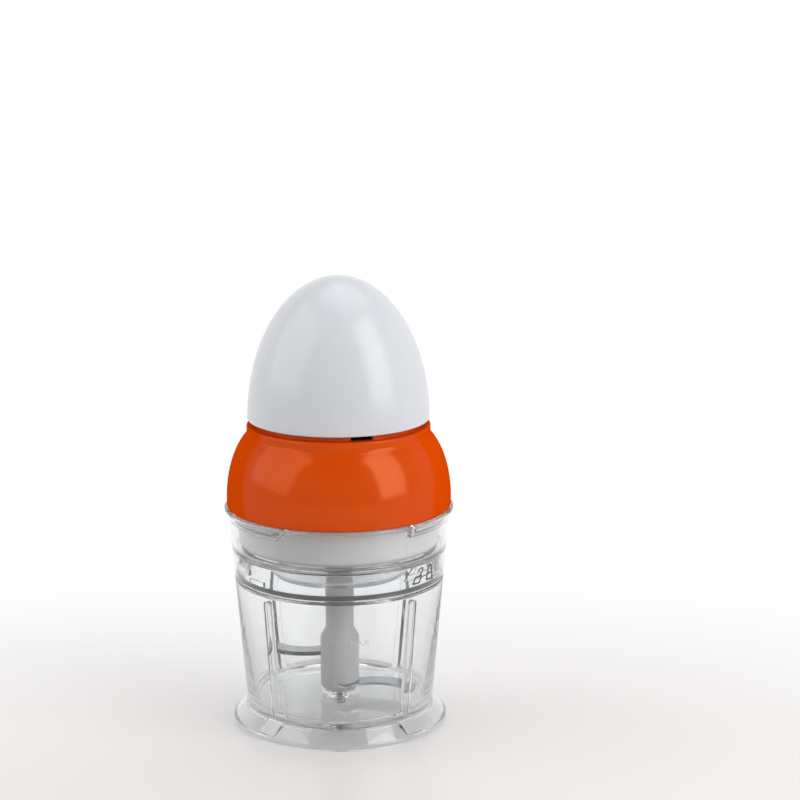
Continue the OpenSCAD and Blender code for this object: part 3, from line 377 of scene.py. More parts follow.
def between(tree, share, first, second):
    """A colour between two."""
    return node(tree, "ShaderNodeMix", {0: share, 6: first, 7: second}, data_type="RGBA").outputs[2]


def ramp(tree, value, start, end, low=0.0, high=1.0, shape="LINEAR"):
    """A value that runs from low to high while another runs from start to end."""
    inputs = {"Value": value, "From Min": start, "From Max": end, "To Min": low, "To Max": high}
    return node(tree, "ShaderNodeMapRange", inputs, interpolation_type=shape).outputs[0]


def new_tree(name, kind, inputs, outputs):
    """A node group with named sockets, each given as (name, type, default)."""
    tree = bpy.data.node_groups.new(name, kind)
    for label, socket, default in inputs:
        made = tree.interface.new_socket(label, in_out="INPUT", socket_type=socket)
        if default is not None:
            made.default_value = default
    for label, socket in outputs:
        tree.interface.new_socket(label, in_out="OUTPUT", socket_type=socket)
    return tree, tree.nodes.new("NodeGroupInput").outputs, tree.nodes.new("NodeGroupOutput").inputs


def end_in_finish(tree, shape, given, out):
    """Ends a geometry tree in plain geometry with its finish."""
    plain = node(tree, "GeometryNodeRealizeInstances", {0: shape})
    finish = node(tree, "GeometryNodeSetMaterial", {"Geometry": plain.outputs[0], "Material": given["Finish"]})
    tree.links.new(finish.outputs[0], out[0])
    return tree


def ring_tree():
    """Copies of a shape, evenly round the upright axis."""
    name = "Copies round the axis"
    if name in bpy.data.node_groups:
        return bpy.data.node_groups[name]
    tree, given, out = new_tree(name, "GeometryNodeTree", [
        ("Shape", "NodeSocketGeometry", None), ("Count", "NodeSocketInt", 3),
        ("First turn", "NodeSocketFloat", 0.0), ("Finish", "NodeSocketMaterial", None)],
        [("Copies", "NodeSocketGeometry")])
    step = maths(tree, "DIVIDE", math.tau, given["Count"])
    index = node(tree, "GeometryNodeInputIndex")
    turn = maths(tree, "MULTIPLY_ADD", index.outputs[0], step, given["First turn"])
    facing = node(tree, "ShaderNodeCombineXYZ", {"Z": turn})
    spots = node(tree, "GeometryNodePoints", {"Count": given["Count"]})
    copies = node(tree, "GeometryNodeInstanceOnPoints", {
        "Points": spots.outputs[0], "Instance": given["Shape"], "Rotation": facing.outputs[0]})
    return end_in_finish(tree, copies.outputs[0], given, out)


def coil_tree():
    """An open coil spring standing on the ground plane."""
    tree, given, out = new_tree("Coil spring", "GeometryNodeTree", [
        ("Shape", "NodeSocketGeometry", None), ("Turns", "NodeSocketFloat", 5.0),
        ("Coil radius", "NodeSocketFloat", 0.0026), ("Wire radius", "NodeSocketFloat", 0.0004),
        ("Height", "NodeSocketFloat", 0.012), ("Finish", "NodeSocketMaterial", None)],
        [("Spring", "NodeSocketGeometry")])
    path = node(tree, "GeometryNodeCurveSpiral", {
        "Resolution": 20, "Rotations": given["Turns"], "Start Radius": given["Coil radius"],
        "End Radius": given["Coil radius"], "Height": given["Height"]})
    wire = node(tree, "GeometryNodeCurvePrimitiveCircle", {"Resolution": 8, "Radius": given["Wire radius"]})
    swept = node(tree, "GeometryNodeCurveToMesh", {
        "Curve": path.outputs[0], "Profile Curve": wire.outputs[0], "Fill Caps": True})
    return end_in_finish(tree, swept.outputs[0], given, out)


def grown(mesh, tree, values):
    """The plain mesh that a geometry node tree makes from a mesh and named values."""
    held = temporary(mesh)
    grow = held.modifiers.new("grow", "NODES")
    grow.node_group = tree
    for item in tree.interface.items_tree:
        if item.item_type == "SOCKET" and item.in_out == "INPUT" and item.name in values:
            grow[item.identifier] = values[item.name]
    return settled(held)


def ring_of(mesh, count, first_turn=0.0, finish=None):
    """Copies of a mesh round the axis, the first one turned by some degrees."""
    values = {"Count": count, "First turn": math.radians(first_turn)}
    if finish:
        values["Finish"] = finish
    return grown(mesh, ring_tree(), values)


# Surface effects and materials


SURFACE = [("Colour", "NodeSocketColor"), ("Roughness", "NodeSocketFloat"), ("Height", "NodeSocketFloat")]
MIDDLE = 0.5


def end_in_surface(tree, given, out, spread, tone, grain, height):
    """Ends a surface effect: one pattern deepens its colour, one varies its roughness and one lifts it."""
    keep = maths(tree, "SUBTRACT", 1.0, given["Tone"])
    deeper = node(tree, "ShaderNodeHueSaturation", {"Value": keep, "Color": given["Colour"]})
    shift = maths(tree, "SUBTRACT", grain, MIDDLE)
    rough = maths(tree, "MULTIPLY_ADD", shift, spread, given["Roughness"], use_clamp=True)
    tree.links.new(between(tree, tone, given["Colour"], deeper.outputs[0]), out["Colour"])
    tree.links.new(rough, out["Roughness"])
    tree.links.new(height, out["Height"])
    return tree


def moulded_surface():
    """Cloudy tone, handling smudges and the fine ripple of a moulded surface."""
    name = "Moulded surface"
    if name in bpy.data.node_groups:
        return bpy.data.node_groups[name]
    tree, given, out = new_tree(name, "ShaderNodeTree", [
        ("Colour", "NodeSocketColor", (0.8, 0.8, 0.8, 1)), ("Tone", "NodeSocketFloat", 0.06),
        ("Roughness", "NodeSocketFloat", 0.2), ("Smudge", "NodeSocketFloat", 0.08),
        ("Ripple", "NodeSocketFloat", 400.0)], SURFACE)
    place = node(tree, "ShaderNodeTexCoord").outputs["Object"]
    cloud = node(tree, "ShaderNodeTexNoise", {"Vector": place, "Scale": 26.0, "Detail": 3.0})
    smudge = node(tree, "ShaderNodeTexNoise", {
        "Vector": place, "Scale": 75.0, "Detail": 4.0, "Distortion": 0.6})
    ripple = node(tree, "ShaderNodeTexNoise", {"Vector": place, "Scale": given["Ripple"], "Detail": 1.0})
    return end_in_surface(
        tree, given, out, given["Smudge"], cloud.outputs[0], smudge.outputs[0], ripple.outputs[0])


def drawn_surface():
    """Fine lines left by grinding, drawing or winding, along one way of the object."""
    name = "Drawn surface"
    if name in bpy.data.node_groups:
        return bpy.data.node_groups[name]
    tree, given, out = new_tree(name, "ShaderNodeTree", [
        ("Colour", "NodeSocketColor", (0.6, 0.6, 0.6, 1)), ("Tone", "NodeSocketFloat", 0.2),
        ("Roughness", "NodeSocketFloat", 0.3), ("Spread", "NodeSocketFloat", 0.15),
        ("Lines", "NodeSocketVector", (90.0, 2400.0, 2400.0))], SURFACE)
    place = node(tree, "ShaderNodeTexCoord").outputs["Object"]
    drawn = node(tree, "ShaderNodeMapping", {"Vector": place, "Scale": given["Lines"]})
    lines = node(tree, "ShaderNodeTexNoise", {"Vector": drawn.outputs[0], "Scale": 1.0, "Detail": 3.0}).outputs[0]
    return end_in_surface(tree, given, out, given["Spread"], lines, lines, lines)


def finish_base(name, effect, values, bump, **shader):
    """A material whose colour, roughness and bump come from a surface effect; the rest is set on its shader."""
    made = bpy.data.materials.new(name)
    made.use_nodes = True
    tree = made.node_tree
    body = tree.nodes["Principled BSDF"]
    surface = node(tree, "ShaderNodeGroup", node_tree=effect)
    for key, value in values.items():
        surface.inputs[key].default_value = value
    lift = node(tree, "ShaderNodeBump", {
        "Strength": bump[0], "Distance": bump[1], "Height": surface.outputs["Height"]})
    tree.links.new(surface.outputs["Colour"], body.inputs["Base Color"])
    tree.links.new(surface.outputs["Roughness"], body.inputs["Roughness"])
    tree.links.new(lift.outputs[0], body.inputs["Normal"])
    for key, value in shader.items():
        body.inputs[key.replace("_", " ")].default_value = value
    return made, body


def tint_of(slot):
    """A colour setting with full cover."""
    return (*getattr(colours(), slot), 1)


def plastic(name, slot, roughness, tone=0.05, smudge=0.06, ripple=420.0, bump=(0.08, 0.0002), **shader):
    values = {
        "Colour": tint_of(slot), "Tone": tone, "Roughness": roughness, "Smudge": smudge, "Ripple": ripple}
    return finish_base(name, moulded_surface(), values, bump, **shader)[0]


def faced_plastic(name, slot, roughness, gloss, **surface):
    """Plastic whose gloss falls off towards its edges, where deep colour shows."""
    made = plastic(name, slot, roughness, **surface)
    tree = made.node_tree
    facing = node(tree, "ShaderNodeLayerWeight", {"Blend": 0.5})
    level = ramp(tree, facing.outputs["Facing"], 0.1, 0.5, gloss, 0.0)
    shine = tree.nodes["Principled BSDF"].inputs["Specular IOR Level"]
    shine.default_value = gloss
    tree.links.new(level, shine)
    return made


def metal(name, slot, roughness, tone=0.2, spread=0.15, lines=(90.0, 2400.0, 2400.0)):
    values = {
        "Colour": tint_of(slot), "Tone": tone, "Roughness": roughness, "Spread": spread, "Lines": lines}
    return finish_base(name, drawn_surface(), values, (0.06, 0.0001), Metallic=1.0)[0]


# What the clear plastic lets through into shadows: its thick foot and its walls, which start at some heights in m
FOOT_SHADOW, WALL_SHADOW = (0.35, 0.35, 0.35, 1), (0.82, 0.825, 0.83, 1)
FOOT_TOP, WALL_START = 0.006, 0.013
DEEP_CLEAR = (0.72, 0.725, 0.73, 1)


def clear(name, roughness=0.02, density=30.0):
    """Clear moulded plastic: it refracts, lets light in, and darkens where the way through it is long."""
    values = {"Colour": tint_of("clear_plastic"), "Tone": 0.01, "Roughness": roughness, "Smudge": 0.03,
              "Ripple": 120.0}
    made, body = finish_base(name, moulded_surface(), values, (0.03, 0.0002), Transmission_Weight=1.0, IOR=1.5)
    tree = made.node_tree
    out = tree.nodes["Material Output"].inputs
    place = node(tree, "ShaderNodeTexCoord").outputs["Object"]
    height = node(tree, "ShaderNodeSeparateXYZ", {0: place}).outputs["Z"]
    let_in = between(tree, ramp(tree, height, FOOT_TOP, WALL_START), FOOT_SHADOW, WALL_SHADOW)
    through = node(tree, "ShaderNodeBsdfTransparent", {"Color": let_in})
    shadow = node(tree, "ShaderNodeLightPath").outputs["Is Shadow Ray"]
    mixed = node(tree, "ShaderNodeMixShader", {0: shadow, 1: body.outputs[0], 2: through.outputs[0]})
    tree.links.new(mixed.outputs[0], out["Surface"])
    murk = node(tree, "ShaderNodeVolumeAbsorption", {"Color": DEEP_CLEAR, "Density": density})
    tree.links.new(murk.outputs[0], out["Volume"])
    return made


FINISHES = {}


def make_finishes():
    FINISHES.update({
        "clear_plastic": clear("Clear bowl plastic"),
        "white_plastic": plastic("Gloss white plastic", "white_plastic", 0.24, tone=0.03),
        "orange_plastic": faced_plastic("Gloss orange plastic", "orange_plastic", 0.15, 0.62, tone=0.06,
                                        Specular_Tint=(1.0, 0.45, 0.2, 1)),
        "grey_plastic": plastic("Satin grey plastic", "grey_plastic", 0.36, bump=(0.12, 0.0002)),
        "hub_plastic": plastic("Satin hub plastic", "hub_plastic", 0.36, bump=(0.12, 0.0002)),
        "dark_plastic": plastic("Matt dark plastic", "dark_plastic", 0.5, tone=0.2, bump=(0.2, 0.0002)),
        "nylon": plastic("Natural nylon", "nylon", 0.42, tone=0.1, bump=(0.15, 0.0002)),
        "soft_seal": plastic("Soft seal", "soft_seal", 0.55, tone=0.12, bump=(0.2, 0.0002)),
        "black_rubber": plastic("Black rubber", "black_rubber", 0.58, tone=0.3, ripple=900.0,
                                bump=(0.3, 0.0002)),
        "carbon": plastic("Brush carbon", "carbon", 0.5, tone=0.3, ripple=1500.0, bump=(0.3, 0.0001)),
        "fill_mark": plastic("Frosted fill mark", "fill_mark", 0.5, Transmission_Weight=0.3),
        "lock_mark": plastic("Grey lock mark", "lock_mark", 0.4, Transmission_Weight=0.2),
        "steel": metal("Ground steel", "steel", 0.24),
        "iron": metal("Stamped iron", "iron", 0.45, lines=(160.0, 160.0, 5000.0)),
        "copper": metal("Wound copper", "copper", 0.34, tone=0.45, lines=(60.0, 60.0, 3200.0)),
        "brass": metal("Sintered bronze", "brass", 0.4, tone=0.25, lines=(1500.0, 1500.0, 1500.0)),
    })


def dress(name, mesh, slot, body, *stands_for, finish=None):
    """Makes a finished mesh a piece that rides on a body and stands for CAD nodes."""
    mesh.materials.clear()
    mesh.materials.append(FINISHES[finish or slot])
    mesh.polygons.foreach_set("material_index", [0] * len(mesh.polygons))
    piece = bpy.data.objects.new(name, mesh)
    bpy.context.scene.collection.objects.link(piece)
    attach(piece, body)
    if stands_for:
        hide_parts(*stands_for)
    return piece


# Pieces


class CHOPPER_OT_finishes(bpy.types.Operator):
    """Make the finishes and give every CAD node its own"""

    bl_idname = "chopper.finishes"
    bl_label = "Finishes"

    def execute(self, context):
        make_finishes()
        for name, part in frame["nodes"].items():
            part.data.materials.clear()
            part.data.materials.append(FINISHES[SLOT_OF_NODE[name]])
        return {"FINISHED"}


class CHOPPER_OT_bowl(bpy.types.Operator):
    """Build the clear bowl with its foot, ribs, gussets and lock cams"""

    bl_idname = "chopper.bowl"
    bl_label = "Bowl"

    def execute(self, context):
        e = sizes().edge_round / MM
        wall = sizes().bowl_wall / MM
        foot, rim = reach("bowl"), highest("bowl")
        base, foot_h, shoulder, shoulder_z = BOWL_WALL
        neck, neck_wall, ledge_z = 49.1, 1.9, shoulder_z - 2.4
        floor, under, lip, foot_wall = 10.1, 7.5, 2.4, 2.2
        boss, boss_z, pin, pin_z = 9.0, floor + 2.5, 2.8, 3.3

        def inner(z):
            return wall_radius(BOWL_WALL, z) - wall

        foot_in = foot + (base - foot) * (under - lip) / (foot_h - lip) - foot_wall
        bowl = lathe("bowl_shell", rounded([
            (0, under, 0), (foot_in, under, 0.8), (foot - foot_wall, lip, 0.6), (foot - foot_wall, 0, 0.3),
            (foot, 0, e), (foot, lip, 1.0), (base, foot_h, sizes().foot_fillet / MM),
            (shoulder, shoulder_z, 1.0), (neck, shoulder_z, 0.4), (neck, rim, e), (neck - neck_wall, rim, e),
            (neck - neck_wall, (shoulder_z + ledge_z) / 2, 0.6), (inner(ledge_z), ledge_z, 0.6),
            (inner(floor), floor, 5.0), (boss, floor, 1.2), (boss, boss_z, 0.5), (pin, boss_z, 0),
            (pin, pin_z, 0), (0, pin_z, 0)], steps=6))
        half, rib_top, rib_deep, sunk = 2.0, 71.0, 2.5, 1.3

        def rib_place(x, y, z):
            return (inner(y) + z, x, y)

        tombstone = [(-half, floor - sunk), (half, floor - sunk)]
        tombstone += arc(half, half, (0, rib_top - half), math.pi, steps=14)
        rib = prism("rib", tombstone, wall / 2, -rib_deep, rib_place, bevel=0.3)
        plate_z, plate_half = under + sunk, 5.0
        plate = [(foot_in - 6, plate_z), (foot_in, plate_z), (foot - 1.1, lip), (foot - foot_wall - 1, lip)]
        gusset = prism("gusset", plate, -plate_half, plate_half, lambda x, y, z: (x, z, y))
        ribs, gussets = (ring_of(m, sizes().rib_count, RIB_TURN) for m in (rib, gusset))
        stud, stud_z = 5.8, 1.5
        seat = lathe("boss", [
            (0, stud_z), (stud, stud_z), (stud, plate_z), (pin, plate_z), (pin, pin_z), (0, pin_z)])
        cam = sector("cam", neck - 0.95, neck + 1.1, 81.5, 84.5, (-10, 10), bevel=0.25)
        stop = sector("stop", neck - 0.75, neck + 0.9, 81.7, rim - 0.3, (-11.8, -8.2), (-5.8, -2.2),
                      steps=4, bevel=0.2)
        cams, stops = (ring_of(m, LOCKS, LOCK_TURN) for m in (cam, stop))
        bowl = combined(bowl, [ribs, gussets, seat, cams, stops], "UNION")
        dress("clear_bowl", bowl, "clear_plastic", "bowl", "bowl")
        return {"FINISHED"}


class CHOPPER_OT_lid(bpy.types.Operator):
    """Build the clear lid with its well, lip, lock lugs and key stops"""

    bl_idname = "chopper.lid"
    bl_label = "Lid"

    def execute(self, context):
        skirt_z, top, lip = lowest("lid"), highest("lid"), reach("lid")
        skirt, skirt_in, wall, lip_h, lip_in = LID_WALL[0], 50.6, 1.8, 1.1, lip - 1.3
        plate, plate_top, well, well_floor, hole = 89.5, 91.3, 34.0, 77.3, 8.3
        flare_z = top - lip_h - 0.9

        def inside(z):
            return wall_radius(LID_WALL, z) - wall

        lid = lathe("lid_shell", rounded([
            (skirt_in, skirt_z, 0.9), (skirt, skirt_z, 0.9), (wall_radius(LID_WALL, flare_z), flare_z, 0.5),
            (lip, top - lip_h, 0.4), (lip, top, 0.4), (lip_in, top, 0.4), (lip_in, top - 0.3, 0),
            (inside(flare_z), flare_z + 0.8, 0.5), (inside(plate_top), plate_top, 1.2),
            (well - wall, plate_top, 0.8), (well - wall, well_floor + wall, 1.4),
            (hole, well_floor + wall, 0.5), (hole, well_floor, 0.5), (well, well_floor, 2.0),
            (well, plate, 0.8), (inside(plate), plate, 0.8)], steps=6))
        lug = sector("lock_lug", skirt_in - 1.1, skirt_in + 0.9, 78.3, 80.9, (12, 24), bevel=0.25)
        low, high, stop_in, stop_out, inset = 104.3, top - 0.6, 50.0, 54.0, 0.15
        lean = 4.9 * (high - low) / 10
        square = sector("square_stop", stop_in, stop_out, low, high, (-78.4, -76.0), steps=3, bevel=0.2)
        slant = sector("slant_stop", stop_in, stop_out, low, high, (-31.4 - lean, -28.8 - lean),
                       (-31.4 + lean, -28.8 + lean), steps=4, bevel=0.2)
        rail = sector("rail", stop_in + inset, stop_out + inset, low + inset, 105.0, (-77, -32.8),
                      steps=24, bevel=0.12)
        stops = [ring_of(m, KEYS, FRONT) for m in (square, slant, rail)]
        lid = combined(lid, [ring_of(lug, LOCKS, LOCK_TURN)] + stops, "UNION")
        dress("clear_lid", lid, "clear_plastic", "lid", "lid")
        return {"FINISHED"}


class CHOPPER_OT_cover(bpy.types.Operator):
    """Build the base cover with its keying lugs and screw pockets"""

    bl_idname = "chopper.cover"
    bl_label = "Base cover"

    def execute(self, context):
        low, top = lowest("base_cover"), highest("base_cover")
        r, wall, floor, edge_z = 49.4, 2.2, 94.0, 110.8
        case, shelf, tube, hole, seat = 25.2, 20.6, 16.0, 11.4, 13.5
        cover = lathe("cover_shell", rounded([
            (hole, low, 0.5), (r, low, 3.0), (r, edge_z, 0.3), (r - wall, edge_z, 0.3), (r - wall, floor, 1.5),
            (case, floor, 1.0), (case, top, 0), (case - 2.5, top, 0), (case - 2.5, 106.9, 0), (shelf, 106.9, 0),
            (shelf, floor, 0.8), (tube, floor, 0.8), (tube, 103.9, 0.3), (seat, 103.9, 0), (seat, 92.4, 0),
            (hole, 92.4, 0)], steps=6))
        lug_low, lug_high, lug_r, first, last, lean = 105.3, 110.3, r + 2.6, -75, -33, 4.86
        lug = sector("key_lug", r - 1.1, lug_r, lug_low, lug_high, (first, last - lean), (first, last + lean),
                     steps=24, bevel=0.15)
        lugs = ring_of(lug, KEYS, FRONT)
        line_w, line_turn, line_in, line_deep = 0.75, 0.8, 0.25, 2.3

        def slant(z):
            return last + lean * (2 * (z - lug_low) / (lug_high - lug_low) - 1) - line_in

        def groove(name, z_low, z_high, low_turns, high_turns=None, steps=4):
            cut = sector(name, lug_r - line_deep, lug_r + 1, z_low, z_high, low_turns, high_turns, steps)
            return ring_of(cut, KEYS, FRONT)

        line_z = lug_low + line_in
        grooves = [
            groove("foot_line", line_z, line_z + line_w, (first + line_in, slant(line_z)), steps=24),
            groove("square_line", line_z, lug_high + 1, (first + line_in, first + line_in + line_turn)),
            groove("slant_line", line_z, lug_high + 1, (slant(line_z) - line_turn, slant(line_z)),
                   (slant(lug_high + 1) - line_turn, slant(lug_high + 1))),
        ]
        post_r, post_z, pocket_r, pocket_z = 4.4, 92.8, 3.2, 102.8
        post = prism("post", circle(post_r, (SCREW_RING, 0)), post_z, edge_z)
        pocket = prism("pocket", circle(pocket_r, (SCREW_RING, 0)), low - 1, pocket_z)
        posts, pockets = (ring_of(m, SCREWS, SCREW_TURN) for m in (post, pocket))
        cover = combined(combined(cover, [lugs, posts], "UNION"), [pockets] + grooves, "DIFFERENCE")
        dress("grey_cover", cover, "grey_plastic", "motor_unit", "base_cover")
        return {"FINISHED"}


class CHOPPER_OT_housing(bpy.types.Operator):
    """Build the motor housing with its shoulder, neck, guide ring and hook windows"""

    bl_idname = "chopper.housing"
    bl_label = "Motor housing"

    def execute(self, context):
        low, top, r = lowest("motor_housing"), highest("motor_housing"), reach("motor_housing")
        band, deck, neck, wall, guide, guide_in = low + 4.2, 152.1, 45.5, 2.2, 42.0, 40.0
        core, rise, mouth = 35.0, 37.6, 43.0
        a = r - core
        outer = arc(a, rise, (core, band), math.acos((neck - core) / a))
        inner = arc(a - wall, rise - wall, (core, band), math.acos((neck - wall - core) / (a - wall)))
        fillet = sizes().neck_fillet / MM
        shoulder = [(x, z, 0) for x, z in outer if z < outer[-1][1] - fillet * 0.6]
        shoulder.append((*outer[-1], fillet))
        hollow = [(x, z, 0) for x, z in reversed(inner)]
        shell = lathe("housing_shell", rounded(
            [(mouth, low, 0), (r, low, 1.0)] + shoulder
            + [(neck, deck, 0.9), (guide, deck, 0.3), (guide, top, 0.5), (guide_in, top, 0.5),
               (guide_in, deck - wall, 0), (neck - wall, deck - wall, 0)]
            + hollow + [(r - wall, low + wall, 0), (mouth, low + wall, 0)], steps=7))
        window = sector("window", guide_in - 1, guide + 0.3, deck, deck + 5.8, (-7.5, 7.5))
        windows = ring_of(window, HOOKS, HOOK_TURN)

        def gland_hole(radius, y_in, y_out):
            return prism("gland_hole", circle(radius, steps=48), y_in, y_out,
                         lambda x, y, z: (x, z, GLAND_Z + y))

        seat = r - 3.2
        pad = gland_hole(8.0, seat - 6, seat)
        cuts = [gland_hole(5.1, seat - 7, r + 1), gland_hole(6.7, seat, r + 1), windows]
        shell = combined(combined(shell, [pad], "UNION"), cuts, "DIFFERENCE")
        dress("orange_housing", shell, "orange_plastic", "motor_unit", "motor_housing")
        return {"FINISHED"}


class CHOPPER_OT_dome(bpy.types.Operator):
    """Build the press dome with its hooks and posts"""

    bl_idname = "chopper.dome"
    bl_label = "Press dome"

    def execute(self, context):
        low, top, r = lowest("press_dome"), highest("press_dome"), reach("press_dome")
        wall = sizes().dome_wall / MM
        height, quarter = top - low, math.pi / 2
        outer = [(x, z, 0) for x, z in arc(r, height, (0, low), quarter, steps=72)]
        inner = [(x, z, 0) for x, z in arc(r - wall, height - wall, (0, low), quarter, steps=60)]
        outer[0], inner[0] = (r, low, 0.7), (r - wall, low, 0.5)
        crown = [(0, top, 0), (0, top - wall, 0)]
        shell = lathe("dome_shell", rounded(outer[:-1] + crown + inner[-2::-1], steps=6))
        hook = sector("hook", 40.3, 43.6, low + 1, low + 2.9, (-6.7, 6.7), bevel=0.2)

        def hanging(name, x, y, radius, foot):
            head = low + height * math.sqrt(1 - (math.hypot(x, y) + radius) ** 2 / (r - wall / 2) ** 2)
            return prism(name, circle(radius, (x, y), steps=24), foot, head)

        posts = ring_of(hanging("spring_post", SPRING_RING, 0, 3.3, 181.2), SPRINGS)
        plunger = hanging("switch_post", 3.76, 35.5, 1.5, 178.925)
        shell = joined("dome", [shell, ring_of(hook, HOOKS, HOOK_TURN), posts, plunger])
        dress("white_dome", shell, "white_plastic", "dome", "press_dome")
        return {"FINISHED"}


class CHOPPER_OT_hub(bpy.types.Operator):
    """Build the blade hub with its smooth flare and drive wings"""

    bl_idname = "chopper.hub"
    bl_label = "Blade hub"

    def execute(self, context):
        low, top = lowest("blade_hub"), highest("blade_hub")
        foot, tube, flare_z, flare_h = 9.9, 7.1, low + 28, 5.0
        bore, bore_top, socket, socket_top, stem, head_z = 4.35, low + 33, 3.4, low + 48.2, 3.8, top - 8.4
        flare = []
        for t in [i / 16 for i in range(17)]:
            flare.append((foot + (tube - foot) * t * t * (3 - 2 * t), flare_z - 2 + (flare_h + 2) * t, 0))
        hub = lathe("hub", rounded(
            [(bore, low, 0.3), (foot, low, 0.8)] + flare
            + [(tube, head_z, 0.4), (stem, head_z, 0.3), (stem, top, 0.4), (0, top, 0), (0, socket_top, 0),
               (socket, socket_top, 0), (socket, bore_top, 0), (bore, bore_top, 0)], steps=4))
        half, root, nub_z = 2.2, 2.0, 62
        side = math.asin(half / tube)
        wing = [(root, -half)] + arc(tube, tube, (0, 0), 2 * side, -side, steps=8) + [(root, half)]
        wings = ring_of(prism("wing", wing, top - 9, top, bevel=0.3), 2)
        nub = arc(1.1, 2.0, (0, 0), math.tau, steps=20)[:-1]
        nub = prism("nub", nub, tube - 0.6, tube + 1.0, lambda x, y, z: (z, x, nub_z + y), bevel=0.5)
        nubs = ring_of(nub, 2)
        hub = combined(hub, [wings, nubs], "UNION")
        dress("grey_hub", hub, "grey_plastic", "blade_set", "blade_hub", finish="hub_plastic")
        return {"FINISHED"}


class CHOPPER_OT_screws(bpy.types.Operator):
    """Build the housing screws with domed heads and cross recesses"""

    bl_idname = "chopper.screws"
    bl_label = "Housing screws"

    def execute(self, context):
        low, top = lowest("housing_screws"), highest("housing_screws")
        head, shank, head_h = 2.9, 1.6, 2.2
        screw = lathe("screw", rounded([
            (0, low, 0), (head * 0.6, low, 1.0), (head, low + head_h * 0.45, 0.6), (head, low + head_h, 0.2),
            (shank, low + head_h, 0), (shank, top - 1, 0), (shank - 0.9, top, 0), (0, top, 0)], steps=3))
        arm = [(-1.7, -0.4), (1.7, -0.4), (1.7, 0.4), (-1.7, 0.4)]
        cross = [prism("arm", pts, low - 0.5, low + 1.1) for pts in (arm, [(y, x) for x, y in arm])]
        screw = combined(screw, cross, "DIFFERENCE")
        for v in screw.vertices:
            v.co.x += SCREW_RING * MM
        screws = smoothed(ring_of(screw, SCREWS, SCREW_TURN))
        dress("housing_screw_set", screws, "steel", "motor_unit", "housing_screws")
        return {"FINISHED"}


class CHOPPER_OT_springs(bpy.types.Operator):
    """Build the three return springs as round wire coils"""

    bl_idname = "chopper.springs"
    bl_label = "Return springs"

    def execute(self, context):
        low, top = lowest("return_springs") * MM, highest("return_springs") * MM
        wire = sizes().spring_wire
        seat = 1.1 * wire
        values = {"Turns": 5.0, "Coil radius": 0.0026, "Wire radius": wire, "Height": top - low - 2 * seat}
        coil = grown(bpy.data.meshes.new("coil"), coil_tree(), values)
        for v in coil.vertices:
            v.co += Vector((SPRING_RING * MM, 0, low + seat))
        coils = smoothed(ring_of(coil, SPRINGS))
        coils = dress("return_coils", coils, "steel", "motor_unit", "return_springs")
        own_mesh(coils)
        return {"FINISHED"}


class CHOPPER_OT_leads(bpy.types.Operator):
    """Build the two leads inside the motor unit"""

    bl_idname = "chopper.leads"
    bl_label = "Leads"

    def execute(self, context):
        gland, frame_z = GLAND_Z, highest("top_frame") - 5.5
        stack, coil = highest("stator_core"), highest("field_coils")
        start, wire = reach("motor_housing") - 11.2, 1.0
        routes = [
            [(1.6, start, gland), (1.7, 41, gland + 1), (1.9, 38, gland + 4.5), (2, 36.6, gland + 11),
             (2, 36.2, gland + 20), (2, 36, (gland + frame_z) / 2 + 6), (2, 36, frame_z - 1.2),
             (2, 36, frame_z - 0.1)],
            [(-1.6, start, gland), (-1.8, 41, gland + 1), (-2.6, 37.4, gland + 4.5), (-4, 34.4, gland + 12),
             (-5, 32.6, gland + 22), (-5.4, 30.8, stack - 4), (-5.4, 29.2, coil - 3), (-5.4, 26.4, coil + 0.6),
             (-5.4, 22.6, coil + 1.1), (-5.4, 19, coil + 1.1)],
        ]
        made = []
        for route in routes:
            curve = bpy.data.curves.new("lead", "CURVE")
            curve.dimensions = "3D"
            curve.bevel_depth = wire * MM
            curve.bevel_resolution = 3
            curve.use_fill_caps = True
            trace(curve, [[c * MM for c in place] for place in route])
            made.append(settled(temporary(curve, "lead")))
        dress("inner_leads", joined("leads", made), "black_rubber", "motor_unit", "lead_wires")
        return {"FINISHED"}


